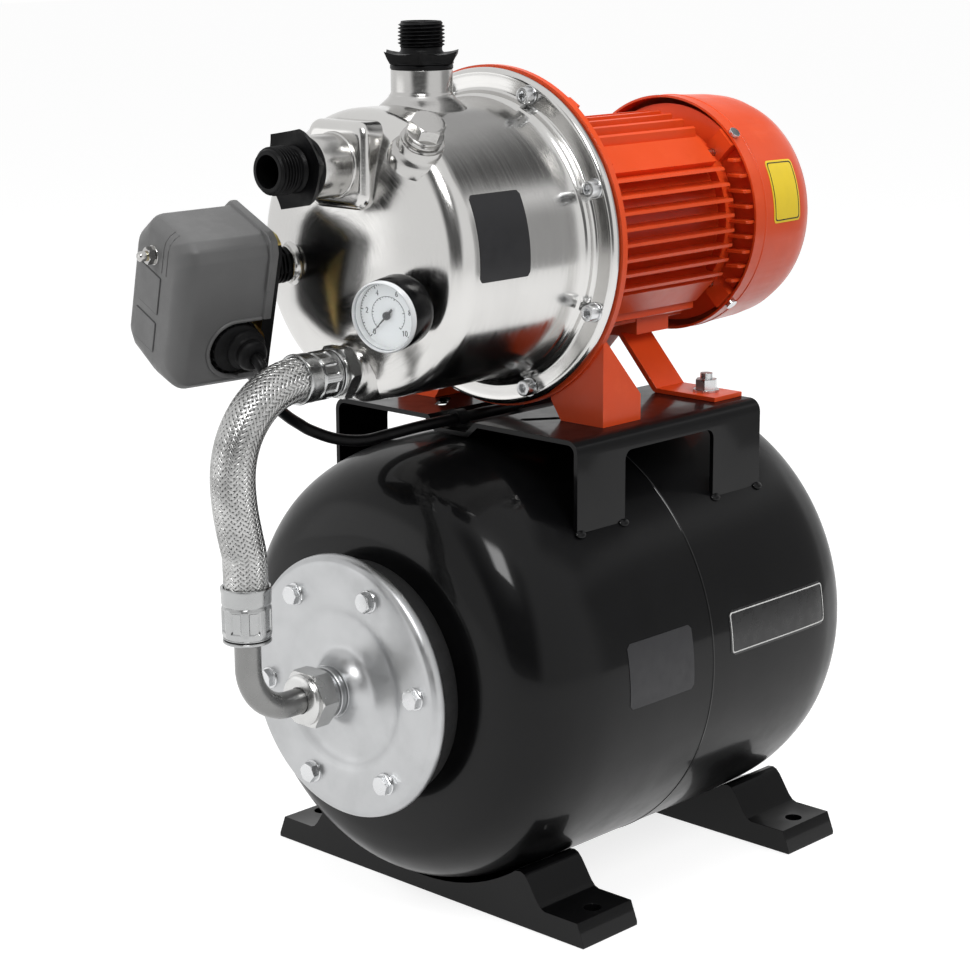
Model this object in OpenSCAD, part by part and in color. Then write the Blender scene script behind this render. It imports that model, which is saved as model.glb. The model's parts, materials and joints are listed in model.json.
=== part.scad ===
// Shallow well jet pump on a horizontal pressure tank.
// Z is up, the tank and the pump shaft lie along Y, and the tank flange and the pump inlet face -Y.
// The origin is the centre of the four foot bolt holes, on the floor.

/* [Tank] */
// Outside radius of the tank shell
tank_r = 140; // [110:1:180]
// Clearance between the tank and the floor
tank_clear = 10; // [6:1:30]
// Tank sheet thickness
tank_t = 1.5; // [1:0.1:3]
// Length of the straight part in front of the weld seam
tank_front_len = 56; // [30:1:120]
// Length of the straight part behind the weld seam
tank_rear_len = 75; // [30:1:160]
// Outside radius of the bolted flange
flange_r = 81; // [70:1:95]
// Number of flange bolts
flange_bolts = 6; // [4:1:8]
// Pitch radius of the flange bolts
flange_bolt_r = 64; // [55:0.5:72]

/* [Feet] */
// Overall width of a foot
foot_w = 270; // [230:1:320]
// Depth of a foot along the tank
foot_d = 50; // [40:1:70]
// Height of the foot pads
foot_pad_h = 15; // [10:1:25]
// Distance between the two rows of foot holes
foot_pitch_y = 204; // [170:1:240]
// Distance between the two holes of one foot
foot_pitch_x = 240; // [200:1:290]
// Radius of a foot hole
foot_hole_r = 5.5; // [4:0.25:8]

/* [Mounting plate] */
// Height of the plate's top above the top of the tank
plate_rise = 10; // [8:1:40]
// Width of the plate
plate_w = 207; // [150:1:230]
// Length of the plate
plate_l = 176; // [140:1:220]
// Plate thickness
plate_t = 3; // [2:0.25:5]

/* [Pump] */
// Height of the pump shaft above the mounting plate
pump_rise = 108; // [107:1:130]
// Outside radius of the pump casing barrel
casing_r = 85; // [70:0.5:100]
// Outside radius of the casing flange
casing_flange_r = 103; // [95:0.5:120]
// Casing sheet thickness
casing_t = 1.5; // [1:0.1:3]
// Number of casing bolts
casing_bolts_n = 8; // [6:1:10]
// Pitch radius of the casing bolts
casing_bolt_r = 95.5; // [90:0.5:110]
// Depth of the inlet's axis below the top of the barrel
inlet_drop = 31; // [28:1:42]
// Outside radius of the threaded ends of the two ports
port_r = 13.2; // [10:0.1:18]
// Bore radius of the two ports
port_bore_r = 9.5; // [7:0.1:12]

/* [Motor] */
// Radius of the motor body under the fins
motor_r = 54; // [45:0.5:65]
// Radius over the motor fins
fin_r = 68; // [60:0.5:75]
// Distance between neighbouring fins
fin_pitch = 9.7; // [8:0.1:14]
// Fin thickness
fin_t = 2; // [1.5:0.1:3]
// Front radius of the fan cover
cover_r = 77.3; // [72:0.1:90]
// Shaft radius at the rotor
shaft_r = 8; // [6:0.5:10]
// Number of impeller vanes
impeller_vanes = 6; // [4:1:9]
// Number of fan blades
fan_blades = 8; // [5:1:12]

/* [Pressure switch and gauge] */
// Width of the switch cover
switch_w = 61; // [50:1:80]
// Height of the switch cover
switch_h = 93; // [70:1:110]
// Depth of the switch cover
switch_d = 56; // [40:1:70]
// Turn of the switch about its own axis
switch_roll = 28; // [-45:1:45]
// Radius of the gauge case
gauge_r = 20.7; // [18:0.1:32]
// Depth of the gauge case
gauge_d = 26; // [18:1:36]

/* [Hose] */
// Radius of the braided hose
hose_r = 13; // [8:0.5:16]
// Radius of the elbow tube at the tank
elbow_r = 7.8; // [6:0.1:9]
// Radius of the motor lead
lead_r = 3.5; // [2.5:0.25:5]

/* [Hidden] */
$fn = 64;
tank_y = -12.5;
tank_z = tank_r + tank_clear;
plate_z = tank_z + tank_r + plate_rise;
pump_z = plate_z + pump_rise;
// height of the hose port
port_z = pump_z - casing_r + 19;
tank_front_y = tank_y - tank_front_len;
tank_rear_y = tank_y + tank_rear_len;
neck_r = 74.5;
neck_back_y = tank_front_y - 99.5;
neck_front_y = neck_back_y - 16;
bladder_rim_t = 2.5;
flange_back_y = neck_front_y - bladder_rim_t;
flange_face_y = neck_front_y - 11;
flange_mid_y = neck_front_y - 7;
tank_rear_end = tank_rear_y + 100.5;
port_tank_y = neck_front_y - 22;
elbow_y = port_tank_y - 60.5;

casing_corner_r = 15;
casing_corner_y = -162.5;
dome_r = 230;
// centre of the casing's domed front
dome_cy = 40.8;
flange_seat_y = -59.5;
bracket_back_y = -55.3;
// face of the casing flange under the bolts
band_y = -66;
outlet_y = -120;
inlet_z = pump_z + casing_r - inlet_drop;
pad_y = -191.5;
inlet_tube_y = -214.5;
outlet_tube_z = pump_z + casing_r + 19.8;
diffuser_r = casing_r - 19;
impeller_r = casing_r - 29;

gauge_b = 22.5;
gauge_s = asin((casing_r - 27.8) / dome_r);
switch_b = -9;
switch_s = -asin((casing_r - 37.18) / dome_r);
nipple_l = 20;
switch_base_t = 12;
switch_u = -0.5;
switch_v = -13.5;

motor_front_y = -48;
motor_rear_y = 95;
bell_rear_y = 108;
cover_front_y = 104.5;
cover_rear_y = 173.5;
fan_y = 132;

// moves a hose point with the port at its top and with the elbow at its foot
function hose_at(y, z) =
    let (w = z >= 334 ? 0 : z <= 238 ? 1 : (334 - z) / 96)
        [0, y + w * (elbow_y + 266.5), z + w * (tank_z - 150) + (1 - w) * (port_z - 342)];
hose_pts = [
    hose_at(-212, 342), hose_at(-219, 342), hose_at(-226, 342), hose_at(-234, 341), hose_at(-243, 338.2),
    hose_at(-251.5, 333.7), hose_at(-259, 327.5), hose_at(-265.3, 319.8), hose_at(-270, 311), hose_at(-273, 301),
    hose_at(-274, 291), hose_at(-273.5, 280), hose_at(-272, 269), hose_at(-269.5, 257), hose_at(-267.2, 247),
    hose_at(-266.7, 238), hose_at(-266.5, 230), hose_at(-266.5, 225), hose_at(-266.5, 220)
];
// lead points, heights from the mounting plate
lead_pts = [
    [-35.2, -229.1, 54.6], [-30.1, -230.1, 52.7], [-27.3, -230.7, 51.8], [-23.8, -231, 49.6],
    [-21.2, -230.4, 45.2], [-20.6, -228.6, 39.5], [-21.5, -225.5, 33], [-24, -220.5, 26],
    [-27.5, -213.5, 19.5], [-31, -203, 12.5], [-32, -194, 7], [-31, -186, 2], [-27, -170, -5],
    [-21, -153, -8], [-15, -136, -6], [-9, -119, -3.5], [-6.5, -104, -2.6], [-6, -92, -2.5],
    [-6, -85, -2.5], [-6, -78, -2.5], [-6, -60, -2.5], [-6, -42, -2.5], [-8, -28, -1.5], [-14, -17, 2],
    [-23, -10, 6], [-37, -5, 8], [-51, -1, 10], [-64, 4, 14], [-75, 9, 23], [-83, 12.5, 36], [-88, 14, 51],
    [-89, 14, 63], [-89, 14, 70], [-89, 14, 76]
];

// ---- helpers -------------------------------------------------------------

// Axis along Y through (0, 0, z); profile points are [radius, y].
module rev_y(pts, z) {
    translate([0, 0, z])
        rotate([90, 0, 0])
            rotate_extrude($fn = 96)
                polygon([for (p = pts) [p[0], -p[1]]]);
}

// Cylinder along Y between two y values.
module cyl_y(r, y0, y1, z, x = 0) {
    translate([x, y0, z])
        rotate([-90, 0, 0])
            cylinder(h = y1 - y0, r = r);
}

// Hexagonal bar along Y.
module hex_y(r, y0, y1, z, x = 0) {
    translate([x, y0, z])
        rotate([-90, 0, 0])
            cylinder(h = y1 - y0, r = r, $fn = 6);
}

module round_box(w, d, h, r) {
    linear_extrude(height = h)
        offset(r = r, $fn = 24)
            square([w - 2 * r, d - 2 * r], center = true);
}

// Places children on the casing's domed front: their -Y axis points outward.
module on_dome(b, s) {
    translate([0, dome_cy, pump_z])
        rotate([0, b, 0])
            rotate([0, 0, s])
                children();
}

module gauge_frame() {
    on_dome(gauge_b, gauge_s)
        translate([0, -dome_r, 0])
            rotate([0, -gauge_b, 0])
                children();
}

module switch_frame() {
    on_dome(switch_b, switch_s)
        translate([0, -dome_r, 0])
            rotate([0, switch_roll, 0])
                children();
}

// Swept tube through a list of points.
function sub3(a, b) = [a[0] - b[0], a[1] - b[1], a[2] - b[2]];
function unit3(v) = v / norm(v);
function tangent(p, i) = unit3(sub3(p[min(i + 1, len(p) - 1)], p[max(i - 1, 0)]));
function carried(p, i, n) =
    i == len(p) ? [] : let (t = tangent(p, i), a = unit3(n - (n * t) * t)) concat([a], carried(p, i + 1, a));
module tube_path(p, r, n = 12, up = [1, 0, 0]) {
    side = carried(p, 0, up);
    rings = [
        for (i = [0:len(p) - 1])
            let (t = tangent(p, i), a = side[i], b = cross(t, a))
                for (k = [0:n - 1]) p[i] + r * cos(360 * k / n) * a + r * sin(360 * k / n) * b
    ];
    last = len(p) - 1;
    sides = [
        for (i = [0:last - 1])
            for (k = [0:n - 1])
                [i * n + k, i * n + (k + 1) % n, (i + 1) * n + (k + 1) % n, (i + 1) * n + k]
    ];
    cap0 = [[for (k = [0:n - 1]) n - 1 - k]];
    cap1 = [[for (k = [0:n - 1]) last * n + k]];
    polyhedron(points = rings, faces = concat(sides, cap0, cap1), convexity = 6);
}

// ---- profiles ------------------------------------------------------------

dome_k = (tank_r - 60) / 80;
function front_dome(o) = [
    for (q = [[0, 0], [0.9, 36], [3.4, 56], [8, 72], [15, 84], [25, 93], [36, 97.5], [48, 99.8], [60, 101],
        [80, 101.8]])
        [tank_r - q[0] * dome_k - o * (q[0] < 3 ? 1 : q[0] < 9 ? 0.85 : q[0] < 26 ? 0.6 : 0),
         tank_front_y - q[1] + o * (q[0] < 3 ? 0.2 : q[0] < 9 ? 0.5 : q[0] < 26 ? 0.8 : 1)]
];

function rear_dome(o) = [
    for (q = [[0, 0], [1, 36], [3.6, 52], [8.5, 66], [17, 78], [28, 86], [45, 92.5], [70, 97], [100, 99.6]])
        [tank_r - q[0] * tank_r / 140 - o * (q[0] < 3 ? 1 : q[0] < 9 ? 0.85 : q[0] < 29 ? 0.6 : 0),
         tank_rear_y + q[1] - o * (q[0] < 3 ? 0.2 : q[0] < 9 ? 0.5 : q[0] < 29 ? 0.8 : 1)]
];

function rev_list(v) = [for (i = [len(v) - 1:-1:0]) v[i]];

// Outline of the casing shell at inward offset o, from the flange to the front.
function corner_pts(o) = [
    for (a = [0:10:70])
        [casing_r - casing_corner_r + (casing_corner_r - o) * cos(a),
         casing_corner_y - (casing_corner_r - o) * sin(a)]
];
function dome_pts(o) = [
    for (r = [60, 45, 30, 15, 0])
        [r, dome_cy - sqrt((dome_r - o) * (dome_r - o) - r * r)]
];
function casing_line(o) = concat(
    [[casing_r + 2.4 - o, band_y - 5.6], [casing_r + 0.8 - o, -76], [casing_r - o, -81]],
    corner_pts(o), dome_pts(o));

// ---- tank ----------------------------------------------------------------

module tank_front_shell() {
    color([0.03, 0.03, 0.03])
        difference() {
            union() {
                rev_y(concat([[tank_r, tank_y]], front_dome(0),
                    rev_list(front_dome(tank_t)), [[tank_r - tank_t, tank_y]]), tank_z);
                // welded neck ring
                rev_y([[neck_r, neck_back_y], [neck_r, neck_front_y], [50, neck_front_y], [50, neck_back_y]], tank_z);
            }
            for (i = [0:flange_bolts - 1])
                translate([0, 0, tank_z])
                    rotate([0, -6.5 - i * 360 / flange_bolts, 0])
                        cyl_y(3.4, neck_front_y - 1, neck_front_y + 12, 0, flange_bolt_r);
        }
}

module tank_rear_shell() {
    color([0.03, 0.03, 0.03])
        difference() {
            rev_y(concat([[tank_r, tank_y]], rear_dome(0), [[14, tank_rear_end], [0, tank_rear_end],
                [0, tank_rear_end - tank_t], [14, tank_rear_end - tank_t]],
                rev_list(rear_dome(tank_t)), [[tank_r - tank_t, tank_y]]), tank_z);
            cyl_y(5, tank_rear_end - 10, tank_rear_end + 10, tank_z);
        }
}

module tank_flange() {
    color([0.78, 0.78, 0.76])
        difference() {
            union() {
                rev_y([[flange_r, flange_back_y - 0.5], [flange_r, flange_face_y + 4.6],
                    [flange_r - 0.8, flange_face_y + 2.2], [flange_r - 2.8, flange_face_y + 0.6],
                    [flange_r - 5.6, flange_face_y], [53, flange_face_y], [49, flange_face_y + 1],
                    [45, flange_mid_y - 0.2], [42, flange_mid_y], [25, flange_mid_y], [21, flange_mid_y - 1.6],
                    [18, flange_mid_y - 5], [16.5, flange_mid_y - 9], [16.5, port_tank_y + 2.5],
                    [14.6, port_tank_y + 2.5], [14.6, port_tank_y + 1], [15.8, port_tank_y + 1],
                    [15.8, port_tank_y - 2], [14, port_tank_y - 2], [14, port_tank_y - 10.3],
                    [10, port_tank_y - 10.3], [10, flange_back_y], [flange_r - 3, flange_back_y]], tank_z);
            }
            for (i = [0:flange_bolts - 1])
                translate([0, 0, tank_z])
                    rotate([0, -6.5 - i * 360 / flange_bolts, 0])
                        cyl_y(3.4, flange_face_y - 1, flange_back_y + 1, 0, flange_bolt_r);
        }
}

module tank_flange_bolts() {
    color([0.8, 0.8, 0.78])
        for (i = [0:flange_bolts - 1])
            translate([0, 0, tank_z])
                rotate([0, -6.5 - i * 360 / flange_bolts, 0])
                    translate([flange_bolt_r, 0, 0]) {
                        hex_y(6.2, flange_face_y - 5.2, flange_face_y, 0);
                        cyl_y(3.3, flange_face_y - 0.5, neck_front_y + 11, 0);
                    }
}

module tank_bladder() {
    color([0.06, 0.06, 0.06])
        difference() {
            rev_y([[neck_r - 1.5, neck_front_y], [neck_r - 1.5, flange_back_y], [14, flange_back_y],
                [14, flange_back_y + 2], [46, flange_back_y + 2], [46, neck_back_y + 3],
                [tank_r - 40, tank_front_y - 71.5], [tank_r - 22, tank_front_y - 41.5],
                [tank_r - 22, tank_rear_y + 27.5], [tank_r - 40, tank_rear_y + 57.5], [0, tank_rear_y + 69.5],
                [0, tank_rear_y + 72.5], [tank_r - 38, tank_rear_y + 60.5], [tank_r - 19, tank_rear_y + 29.5],
                [tank_r - 19, tank_front_y - 43.5], [tank_r - 38, tank_front_y - 74.5], [49, neck_back_y],
                [49, neck_front_y]], tank_z);
            for (i = [0:flange_bolts - 1])
                translate([0, 0, tank_z])
                    rotate([0, -6.5 - i * 360 / flange_bolts, 0])
                        cyl_y(3.4, flange_back_y - 1, neck_front_y + 1, 0, flange_bolt_r);
        }
}

module tank_valve_body() {
    color([0.75, 0.62, 0.3])
        rev_y([[2.2, tank_rear_end - 11], [7.5, tank_rear_end - 11], [7.5, tank_rear_end - tank_t], [5, tank_rear_end - tank_t],
            [5, tank_rear_end], [7.5, tank_rear_end], [7.5, tank_rear_end + 4], [4, tank_rear_end + 6],
            [4, tank_rear_end + 21], [2.2, tank_rear_end + 21], [2.2, tank_rear_end + 9], [1.2, tank_rear_end + 9],
            [1.2, tank_rear_end + 6], [2.2, tank_rear_end + 6]], tank_z);
}

module tank_valve_pin() {
    color([0.8, 0.7, 0.35]) {
        cyl_y(1.1, tank_rear_end + 1, tank_rear_end + 20, tank_z);
        cyl_y(2.1, tank_rear_end + 3.2, tank_rear_end + 5.9, tank_z);
    }
}

module tank_valve_cap() {
    color([0.05, 0.05, 0.05])
        difference() {
            cyl_y(6.2, tank_rear_end + 8, tank_rear_end + 25, tank_z);
            cyl_y(4.06, tank_rear_end + 7, tank_rear_end + 22.5, tank_z);
        }
}

// ---- feet ----------------------------------------------------------------

saddle_x = 80;
pad_x = 104;
function saddle_z(x) = tank_z - sqrt(tank_r * tank_r - x * x) - 0.05;
function foot_top(x) =
    let (a = abs(x), zc = saddle_z(saddle_x))
        a <= saddle_x ? saddle_z(a)
        : a <= saddle_x + 4 ? zc + 0.6
        : a <= pad_x ? foot_pad_h + (zc + 0.6 - foot_pad_h) * (1 + cos(180 * (a - saddle_x - 4) / (pad_x - saddle_x - 4))) / 2
        : a <= foot_w / 2 - 5 ? foot_pad_h
        : foot_pad_h - (a - foot_w / 2 + 5) * (foot_pad_h - 2.5) / 5;
foot_xs = [-135, -130, -117, -104, -101, -98, -94, -90, -87, -84, -80, -76, -70, -64, -56, -48, -40, -30, -20, -10,
    0, 10, 20, 30, 40, 48, 56, 64, 70, 76, 80, 84, 87, 90, 94, 98, 101, 104, 117, 130, 135];

module foot(yc) {
    k = foot_w / 270;
    difference() {
        translate([0, yc + foot_d / 2, 0])
            rotate([90, 0, 0])
                linear_extrude(height = foot_d)
                    polygon(concat([for (x = foot_xs) [x * k, foot_top(x * k)]], [[foot_w / 2, 0], [-foot_w / 2, 0]]));
        translate([0, yc + foot_d / 2 - 2.5, -2.6])
            rotate([90, 0, 0])
                linear_extrude(height = foot_d - 5)
                    polygon(concat([for (x = foot_xs) [x * k * 0.981, foot_top(x * k)]],
                        [[foot_w / 2 - 2.5, -3], [-foot_w / 2 + 2.5, -3]]));
        for (s = [-1, 1])
            translate([s * foot_pitch_x / 2, yc, -1])
                cylinder(h = foot_pad_h + 5, r = foot_hole_r);
    }
    // boss round each bolt hole
    for (s = [-1, 1])
        translate([s * foot_pitch_x / 2, yc, 0])
            difference() {
                cylinder(h = foot_pad_h - 1, r = foot_hole_r + 2.5);
                translate([0, 0, -1])
                    cylinder(h = foot_pad_h + 5, r = foot_hole_r);
            }
}

module front_foot() {
    color([0.03, 0.03, 0.03])
        foot(-foot_pitch_y / 2);
}

module rear_foot() {
    color([0.03, 0.03, 0.03])
        foot(foot_pitch_y / 2);
}

// ---- mounting plate ------------------------------------------------------

plate_y0 = -98;
plate_y1 = plate_y0 + plate_l;
bracket_foot_x = 71;
bracket_bolt_y = -36;
strap_foot_x = 71;
strap_y = 63.5;
strap_top = pump_z - 71.6;
// floor of the plate's channel
channel_z = tank_z + tank_r + plate_t;

module plate_outline(w, h) {
    hull() {
        for (s = [-1, 1])
            translate([s * (w / 2 - 8 + h), plate_z - 8])
                circle(r = 8 - h, $fn = 32);
        translate([-w / 2, plate_z - 200])
            square([w, 10]);
    }
}

module pump_mount_plate() {
    color([0.03, 0.03, 0.03])
        difference() {
            translate([0, plate_y1, 0])
                rotate([90, 0, 0])
                    linear_extrude(height = plate_l)
                        difference() {
                            union() {
                                difference() {
                                    plate_outline(plate_w, 0);
                                    plate_outline(plate_w - 2 * plate_t, plate_t);
                                }
                                // pressed channel for the lead
                                polygon([[-24, plate_z - 1.5], [-14, tank_z + tank_r], [14, tank_z + tank_r],
                                    [24, plate_z - 1.5]]);
                            }
                            polygon([[-20, plate_z + 1], [-20, plate_z], [-12, channel_z], [12, channel_z],
                                [20, plate_z], [20, plate_z + 1]]);
                        }
            // cut to the tank
            cyl_y(tank_r + 0.02, plate_y0 - 1, plate_y1 + 1, tank_z);
            translate([-plate_w, plate_y0 - 1, 0])
                cube([2 * plate_w, plate_l + 2, tank_z + 60]);
            // side openings
            for (s = [-1, 1])
                translate([s * plate_w / 2, plate_y0 + 86, plate_z - 63])
                    rotate([90, 0, 90])
                        translate([0, 0, -10])
                            linear_extrude(height = 20)
                                offset(r = 6, $fn = 24)
                                    square([73, 90], center = true);
            // bolt holes
            for (s = [-1, 1]) {
                translate([s * bracket_foot_x, bracket_bolt_y, plate_z - 10])
                    cylinder(h = 20, r = 4.3);
                translate([s * strap_foot_x, strap_y, plate_z - 10])
                    cylinder(h = 20, r = 4.3);
            }
            // slots
            for (s = [-1, 1])
                translate([s * 42, -62, plate_z - 10])
                    rotate([0, 0, s * -35])
                        round_box(7, 26, 20, 3.4);
        }
}

module cable_clip() {
    color([0.05, 0.05, 0.05])
        translate([-7, -85, channel_z])
            difference() {
                union() {
                    translate([-4, -4, 0])
                        cube([20, 8, 2.2]);
                    translate([1, -4, 4.5])
                        rotate([-90, 0, 0])
                            cylinder(h = 8, r = 5.6);
                }
                translate([1, -5, 4.5])
                    rotate([-90, 0, 0])
                        cylinder(h = 10, r = lead_r + 0.15);
                translate([-10, -5, -10])
                    cube([30, 10, 10]);
            }
}

// ---- pump ----------------------------------------------------------------

module casing_ports(o) {
    // inlet boss and tube
    hull() {
        translate([-22 + o, pad_y + 3 + o, inlet_z - 23 + o])
            cube([44 - 2 * o, 2, 46 - 2 * o]);
        translate([-19.5 + o, pad_y + o, inlet_z - 20.5 + o])
            cube([39 - 2 * o, 2, 41 - 2 * o]);
        translate([-22 + o, -172, inlet_z - 23 + o])
            cube([44 - 2 * o, 2, 40 - 2 * o]);
    }
}

module pump_casing() {
    color([0.75, 0.75, 0.75])
        difference() {
            union() {
                rev_y(concat([[casing_r - 7, flange_seat_y], [casing_flange_r, flange_seat_y],
                    [casing_flange_r + 0.2, -61.8], [casing_flange_r - 0.6, -64], [casing_flange_r - 1.8, -65.6],
                    [casing_flange_r - 3, band_y], [casing_r + 4.8, band_y], [casing_r + 3.9, band_y - 0.7],
                    [casing_r + 3.4, band_y - 4.8]], casing_line(0), [[0, -150], [casing_r - 7, -150]]), pump_z);
                casing_ports(0);
                // inlet tube
                cyl_y(18.3, inlet_tube_y, -170, inlet_z);
                // outlet boss and tube
                hull() {
                    translate([-18, outlet_y - 18, pump_z + casing_r - 5])
                        cube([36, 36, 9]);
                    translate([-23, outlet_y - 23, pump_z + casing_r - 15])
                        cube([46, 46, 7]);
                }
                translate([0, outlet_y, pump_z + casing_r - 15])
                    cylinder(h = 34.8, r = 18.3);
                // hose stub
                cyl_y(13, -191, -160, port_z);
                cyl_y(15, -182, -160, port_z);
                // gauge and switch bosses
                gauge_frame()
                    cyl_y(9, -3, 12, 0);
                switch_frame()
                    cyl_y(11, -4, 12, 0);
                // priming collar
                plug_frame()
                    cylinder(h = 8, r = 13);
            }
            // inside
            rev_y(concat([[casing_r - 7, flange_seat_y + 1], [casing_r + 2.4 - casing_t, flange_seat_y + 1]],
                casing_line(casing_t), [[0, flange_seat_y + 1]]), pump_z);
            cyl_y(16.5, inlet_tube_y - 1, -150, inlet_z);
            intersection() {
                casing_ports(casing_t);
                translate([-30, pad_y + 1.5, inlet_z - 62])
                    cube([60, 30, 120]);
            }
            translate([0, outlet_y, pump_z + casing_r - 25])
                cylinder(h = 80, r = 16.5);
            cyl_y(10, -199, -150, port_z);
            gauge_frame()
                cyl_y(6.1, -4, 20, 0);
            switch_frame()
                cyl_y(6.6, -5, 20, 0);
            plug_frame()
                translate([0, 0, -12])
                    cylinder(h = 30, r = 9);
            for (i = [0:casing_bolts_n - 1])
                translate([0, 0, pump_z])
                    rotate([0, 22.5 + i * 360 / casing_bolts_n, 0])
                        cyl_y(3.3, band_y - 4, -50, 0, casing_bolt_r);
        }
}

module plug_frame() {
    translate([0, -154, pump_z])
        rotate([0, 37, 0])
            rotate([12, 0, 0])
                translate([0, 0, casing_r - 4])
                    children();
}

module adapter(tube_bore) {
    // origin at the port's tube end, the thread leaves along +Z
    difference() {
        union() {
            hull() {
                translate([0, 0, 3])
                    cylinder(h = 6.5, r = 22.6, $fn = 6);
                translate([0, 0, 0.2])
                    cylinder(h = 1, r = 18.2);
            }
            cylinder(h = 14, r = 12.4);
            translate([0, 0, 13])
                cylinder(h = 15.2, r = port_r);
            translate([0, 0, -14])
                cylinder(h = 15, r = 16.4);
        }
        translate([0, 0, -20])
            cylinder(h = 60, r = port_bore_r);
    }
}

module inlet_adapter() {
    color([0.05, 0.05, 0.05])
        translate([0, inlet_tube_y, inlet_z])
            rotate([90, 0, 0])
                rotate([0, 0, 10])
                    adapter();
}

module outlet_adapter() {
    color([0.05, 0.05, 0.05])
        translate([0, outlet_y, outlet_tube_z])
            rotate([0, 0, 12])
                adapter();
}

module priming_plug() {
    color([0.8, 0.8, 0.8])
        plug_frame()
            difference() {
                union() {
                    translate([0, 0, 8])
                        cylinder(h = 1.8, r = 12.4);
                    translate([0, 0, 9.8])
                        cylinder(h = 4, r = 10.5);
                    translate([0, 0, 13.8])
                        cylinder(h = 9.5, r = 10.6, $fn = 6);
                    translate([0, 0, -2])
                        cylinder(h = 10.5, r = 8.96);
                }
                translate([0, 0, -3])
                    cylinder(h = 10, r = 6);
            }
}

module ejector_housing() {
    color([0.12, 0.12, 0.13])
        difference() {
            union() {
                // suction chamber down from the inlet to the shaft axis
                hull() {
                    cyl_y(19, -172, -150, inlet_z - 6);
                    cyl_y(22, -172, -150, pump_z);
                }
                cyl_y(13.5, -151, -100, pump_z);
                cyl_y(15.9, -184, -165, inlet_z);
            }
            cyl_y(13.4, -190, -154, inlet_z);
            hull() {
                cyl_y(13.4, -169, -154, inlet_z - 6);
                cyl_y(18, -169, -154, pump_z);
            }
            rev_y([[0, -155], [9, -155], [5.5, -140], [5.5, -128], [10.5, -99], [0, -99]], pump_z);
        }
}

module ejector_nozzle() {
    color([0.75, 0.62, 0.3])
        rev_y([[17.9, -168.9], [17.9, -165], [9, -163], [5, -148], [3.4, -148], [7, -163], [12, -168.9]], pump_z);
}

module diffuser() {
    color([0.15, 0.15, 0.16])
        difference() {
            union() {
                rev_y([[14, -100], [18, -100], [18, -104], [diffuser_r - 4, -100], [diffuser_r, -96], [diffuser_r, -66],
                    [diffuser_r - 3, -66], [diffuser_r - 3, -94], [diffuser_r - 8, -96], [14, -98]], pump_z);
                for (i = [0:5])
                    translate([0, 0, pump_z])
                        rotate([0, i * 60, 0])
                            translate([diffuser_r - 1.5, -95, -1.2])
                                cube([9, 28, 2.4]);
            }
            for (i = [0:5])
                translate([0, 0, pump_z])
                    rotate([0, i * 60 + 30, 0])
                        translate([diffuser_r - 11, -80, -7])
                            cube([14, 10, 14]);
        }
}

module impeller() {
    color([0.75, 0.62, 0.3])
        difference() {
            union() {
                cyl_y(impeller_r, -76, -73.5, pump_z);
                rev_y([[17, -91], [20, -91], [21, -87], [impeller_r, -84], [impeller_r, -82], [20, -84.5], [17, -88]],
                    pump_z);
                cyl_y(12, -92, -73.5, pump_z);
                for (i = [0:impeller_vanes - 1])
                    translate([0, 0, pump_z])
                        rotate([0, i * 360 / impeller_vanes, 0])
                            translate([13, -85.5, 0])
                                rotate([0, 28, 0])
                                    translate([0, 0, -1])
                                        cube([impeller_r - 14, 10, 2]);
            }
            cyl_y(6.0, -95, -70, pump_z);
            // trims the vane tips to the rim
            difference() {
                cyl_y(impeller_r + 24, -93, -70, pump_z);
                cyl_y(impeller_r, -94, -69, pump_z);
            }
            rev_y([[21.5, -95], [21.5, -88], [impeller_r + 1, -84.05], [impeller_r + 1, -95]], pump_z);
        }
}

module seal_rotating_ring() {
    color([0.2, 0.2, 0.22])
        difference() {
            union() {
                cyl_y(12.5, -73.3, -68, pump_z);
                cyl_y(10.5, -68, -64.3, pump_z);
            }
            cyl_y(6.6, -74, -60, pump_z);
        }
}

module seal_seat() {
    color([0.85, 0.83, 0.78])
        difference() {
            cyl_y(13, -64.2, -56.5, pump_z);
            cyl_y(7.2, -65, -50, pump_z);
        }
}

module casing_gasket() {
    color([0.05, 0.05, 0.05])
        rev_y([[casing_r - 3, flange_seat_y - 3.5], [casing_r + 0.8, flange_seat_y - 3.5],
            [casing_r + 0.8, flange_seat_y], [casing_r - 3, flange_seat_y]], pump_z);
}

module casing_bolts() {
    color([0.8, 0.8, 0.8])
        for (i = [0:casing_bolts_n - 1])
            translate([0, 0, pump_z])
                rotate([0, 22.5 + i * 360 / casing_bolts_n, 0])
                    translate([casing_bolt_r, 0, 0]) {
                        difference() {
                            cyl_y(4.9, band_y - 7.1, band_y - 1.1, 0);
                            hex_y(2.9, band_y - 8, band_y - 4, 0);
                        }
                        cyl_y(5.6, band_y - 1.1, band_y - 0.02, 0);
                        cyl_y(3.2, band_y - 0.5, -50, 0);
                    }
}

// ---- motor bracket -------------------------------------------------------

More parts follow.
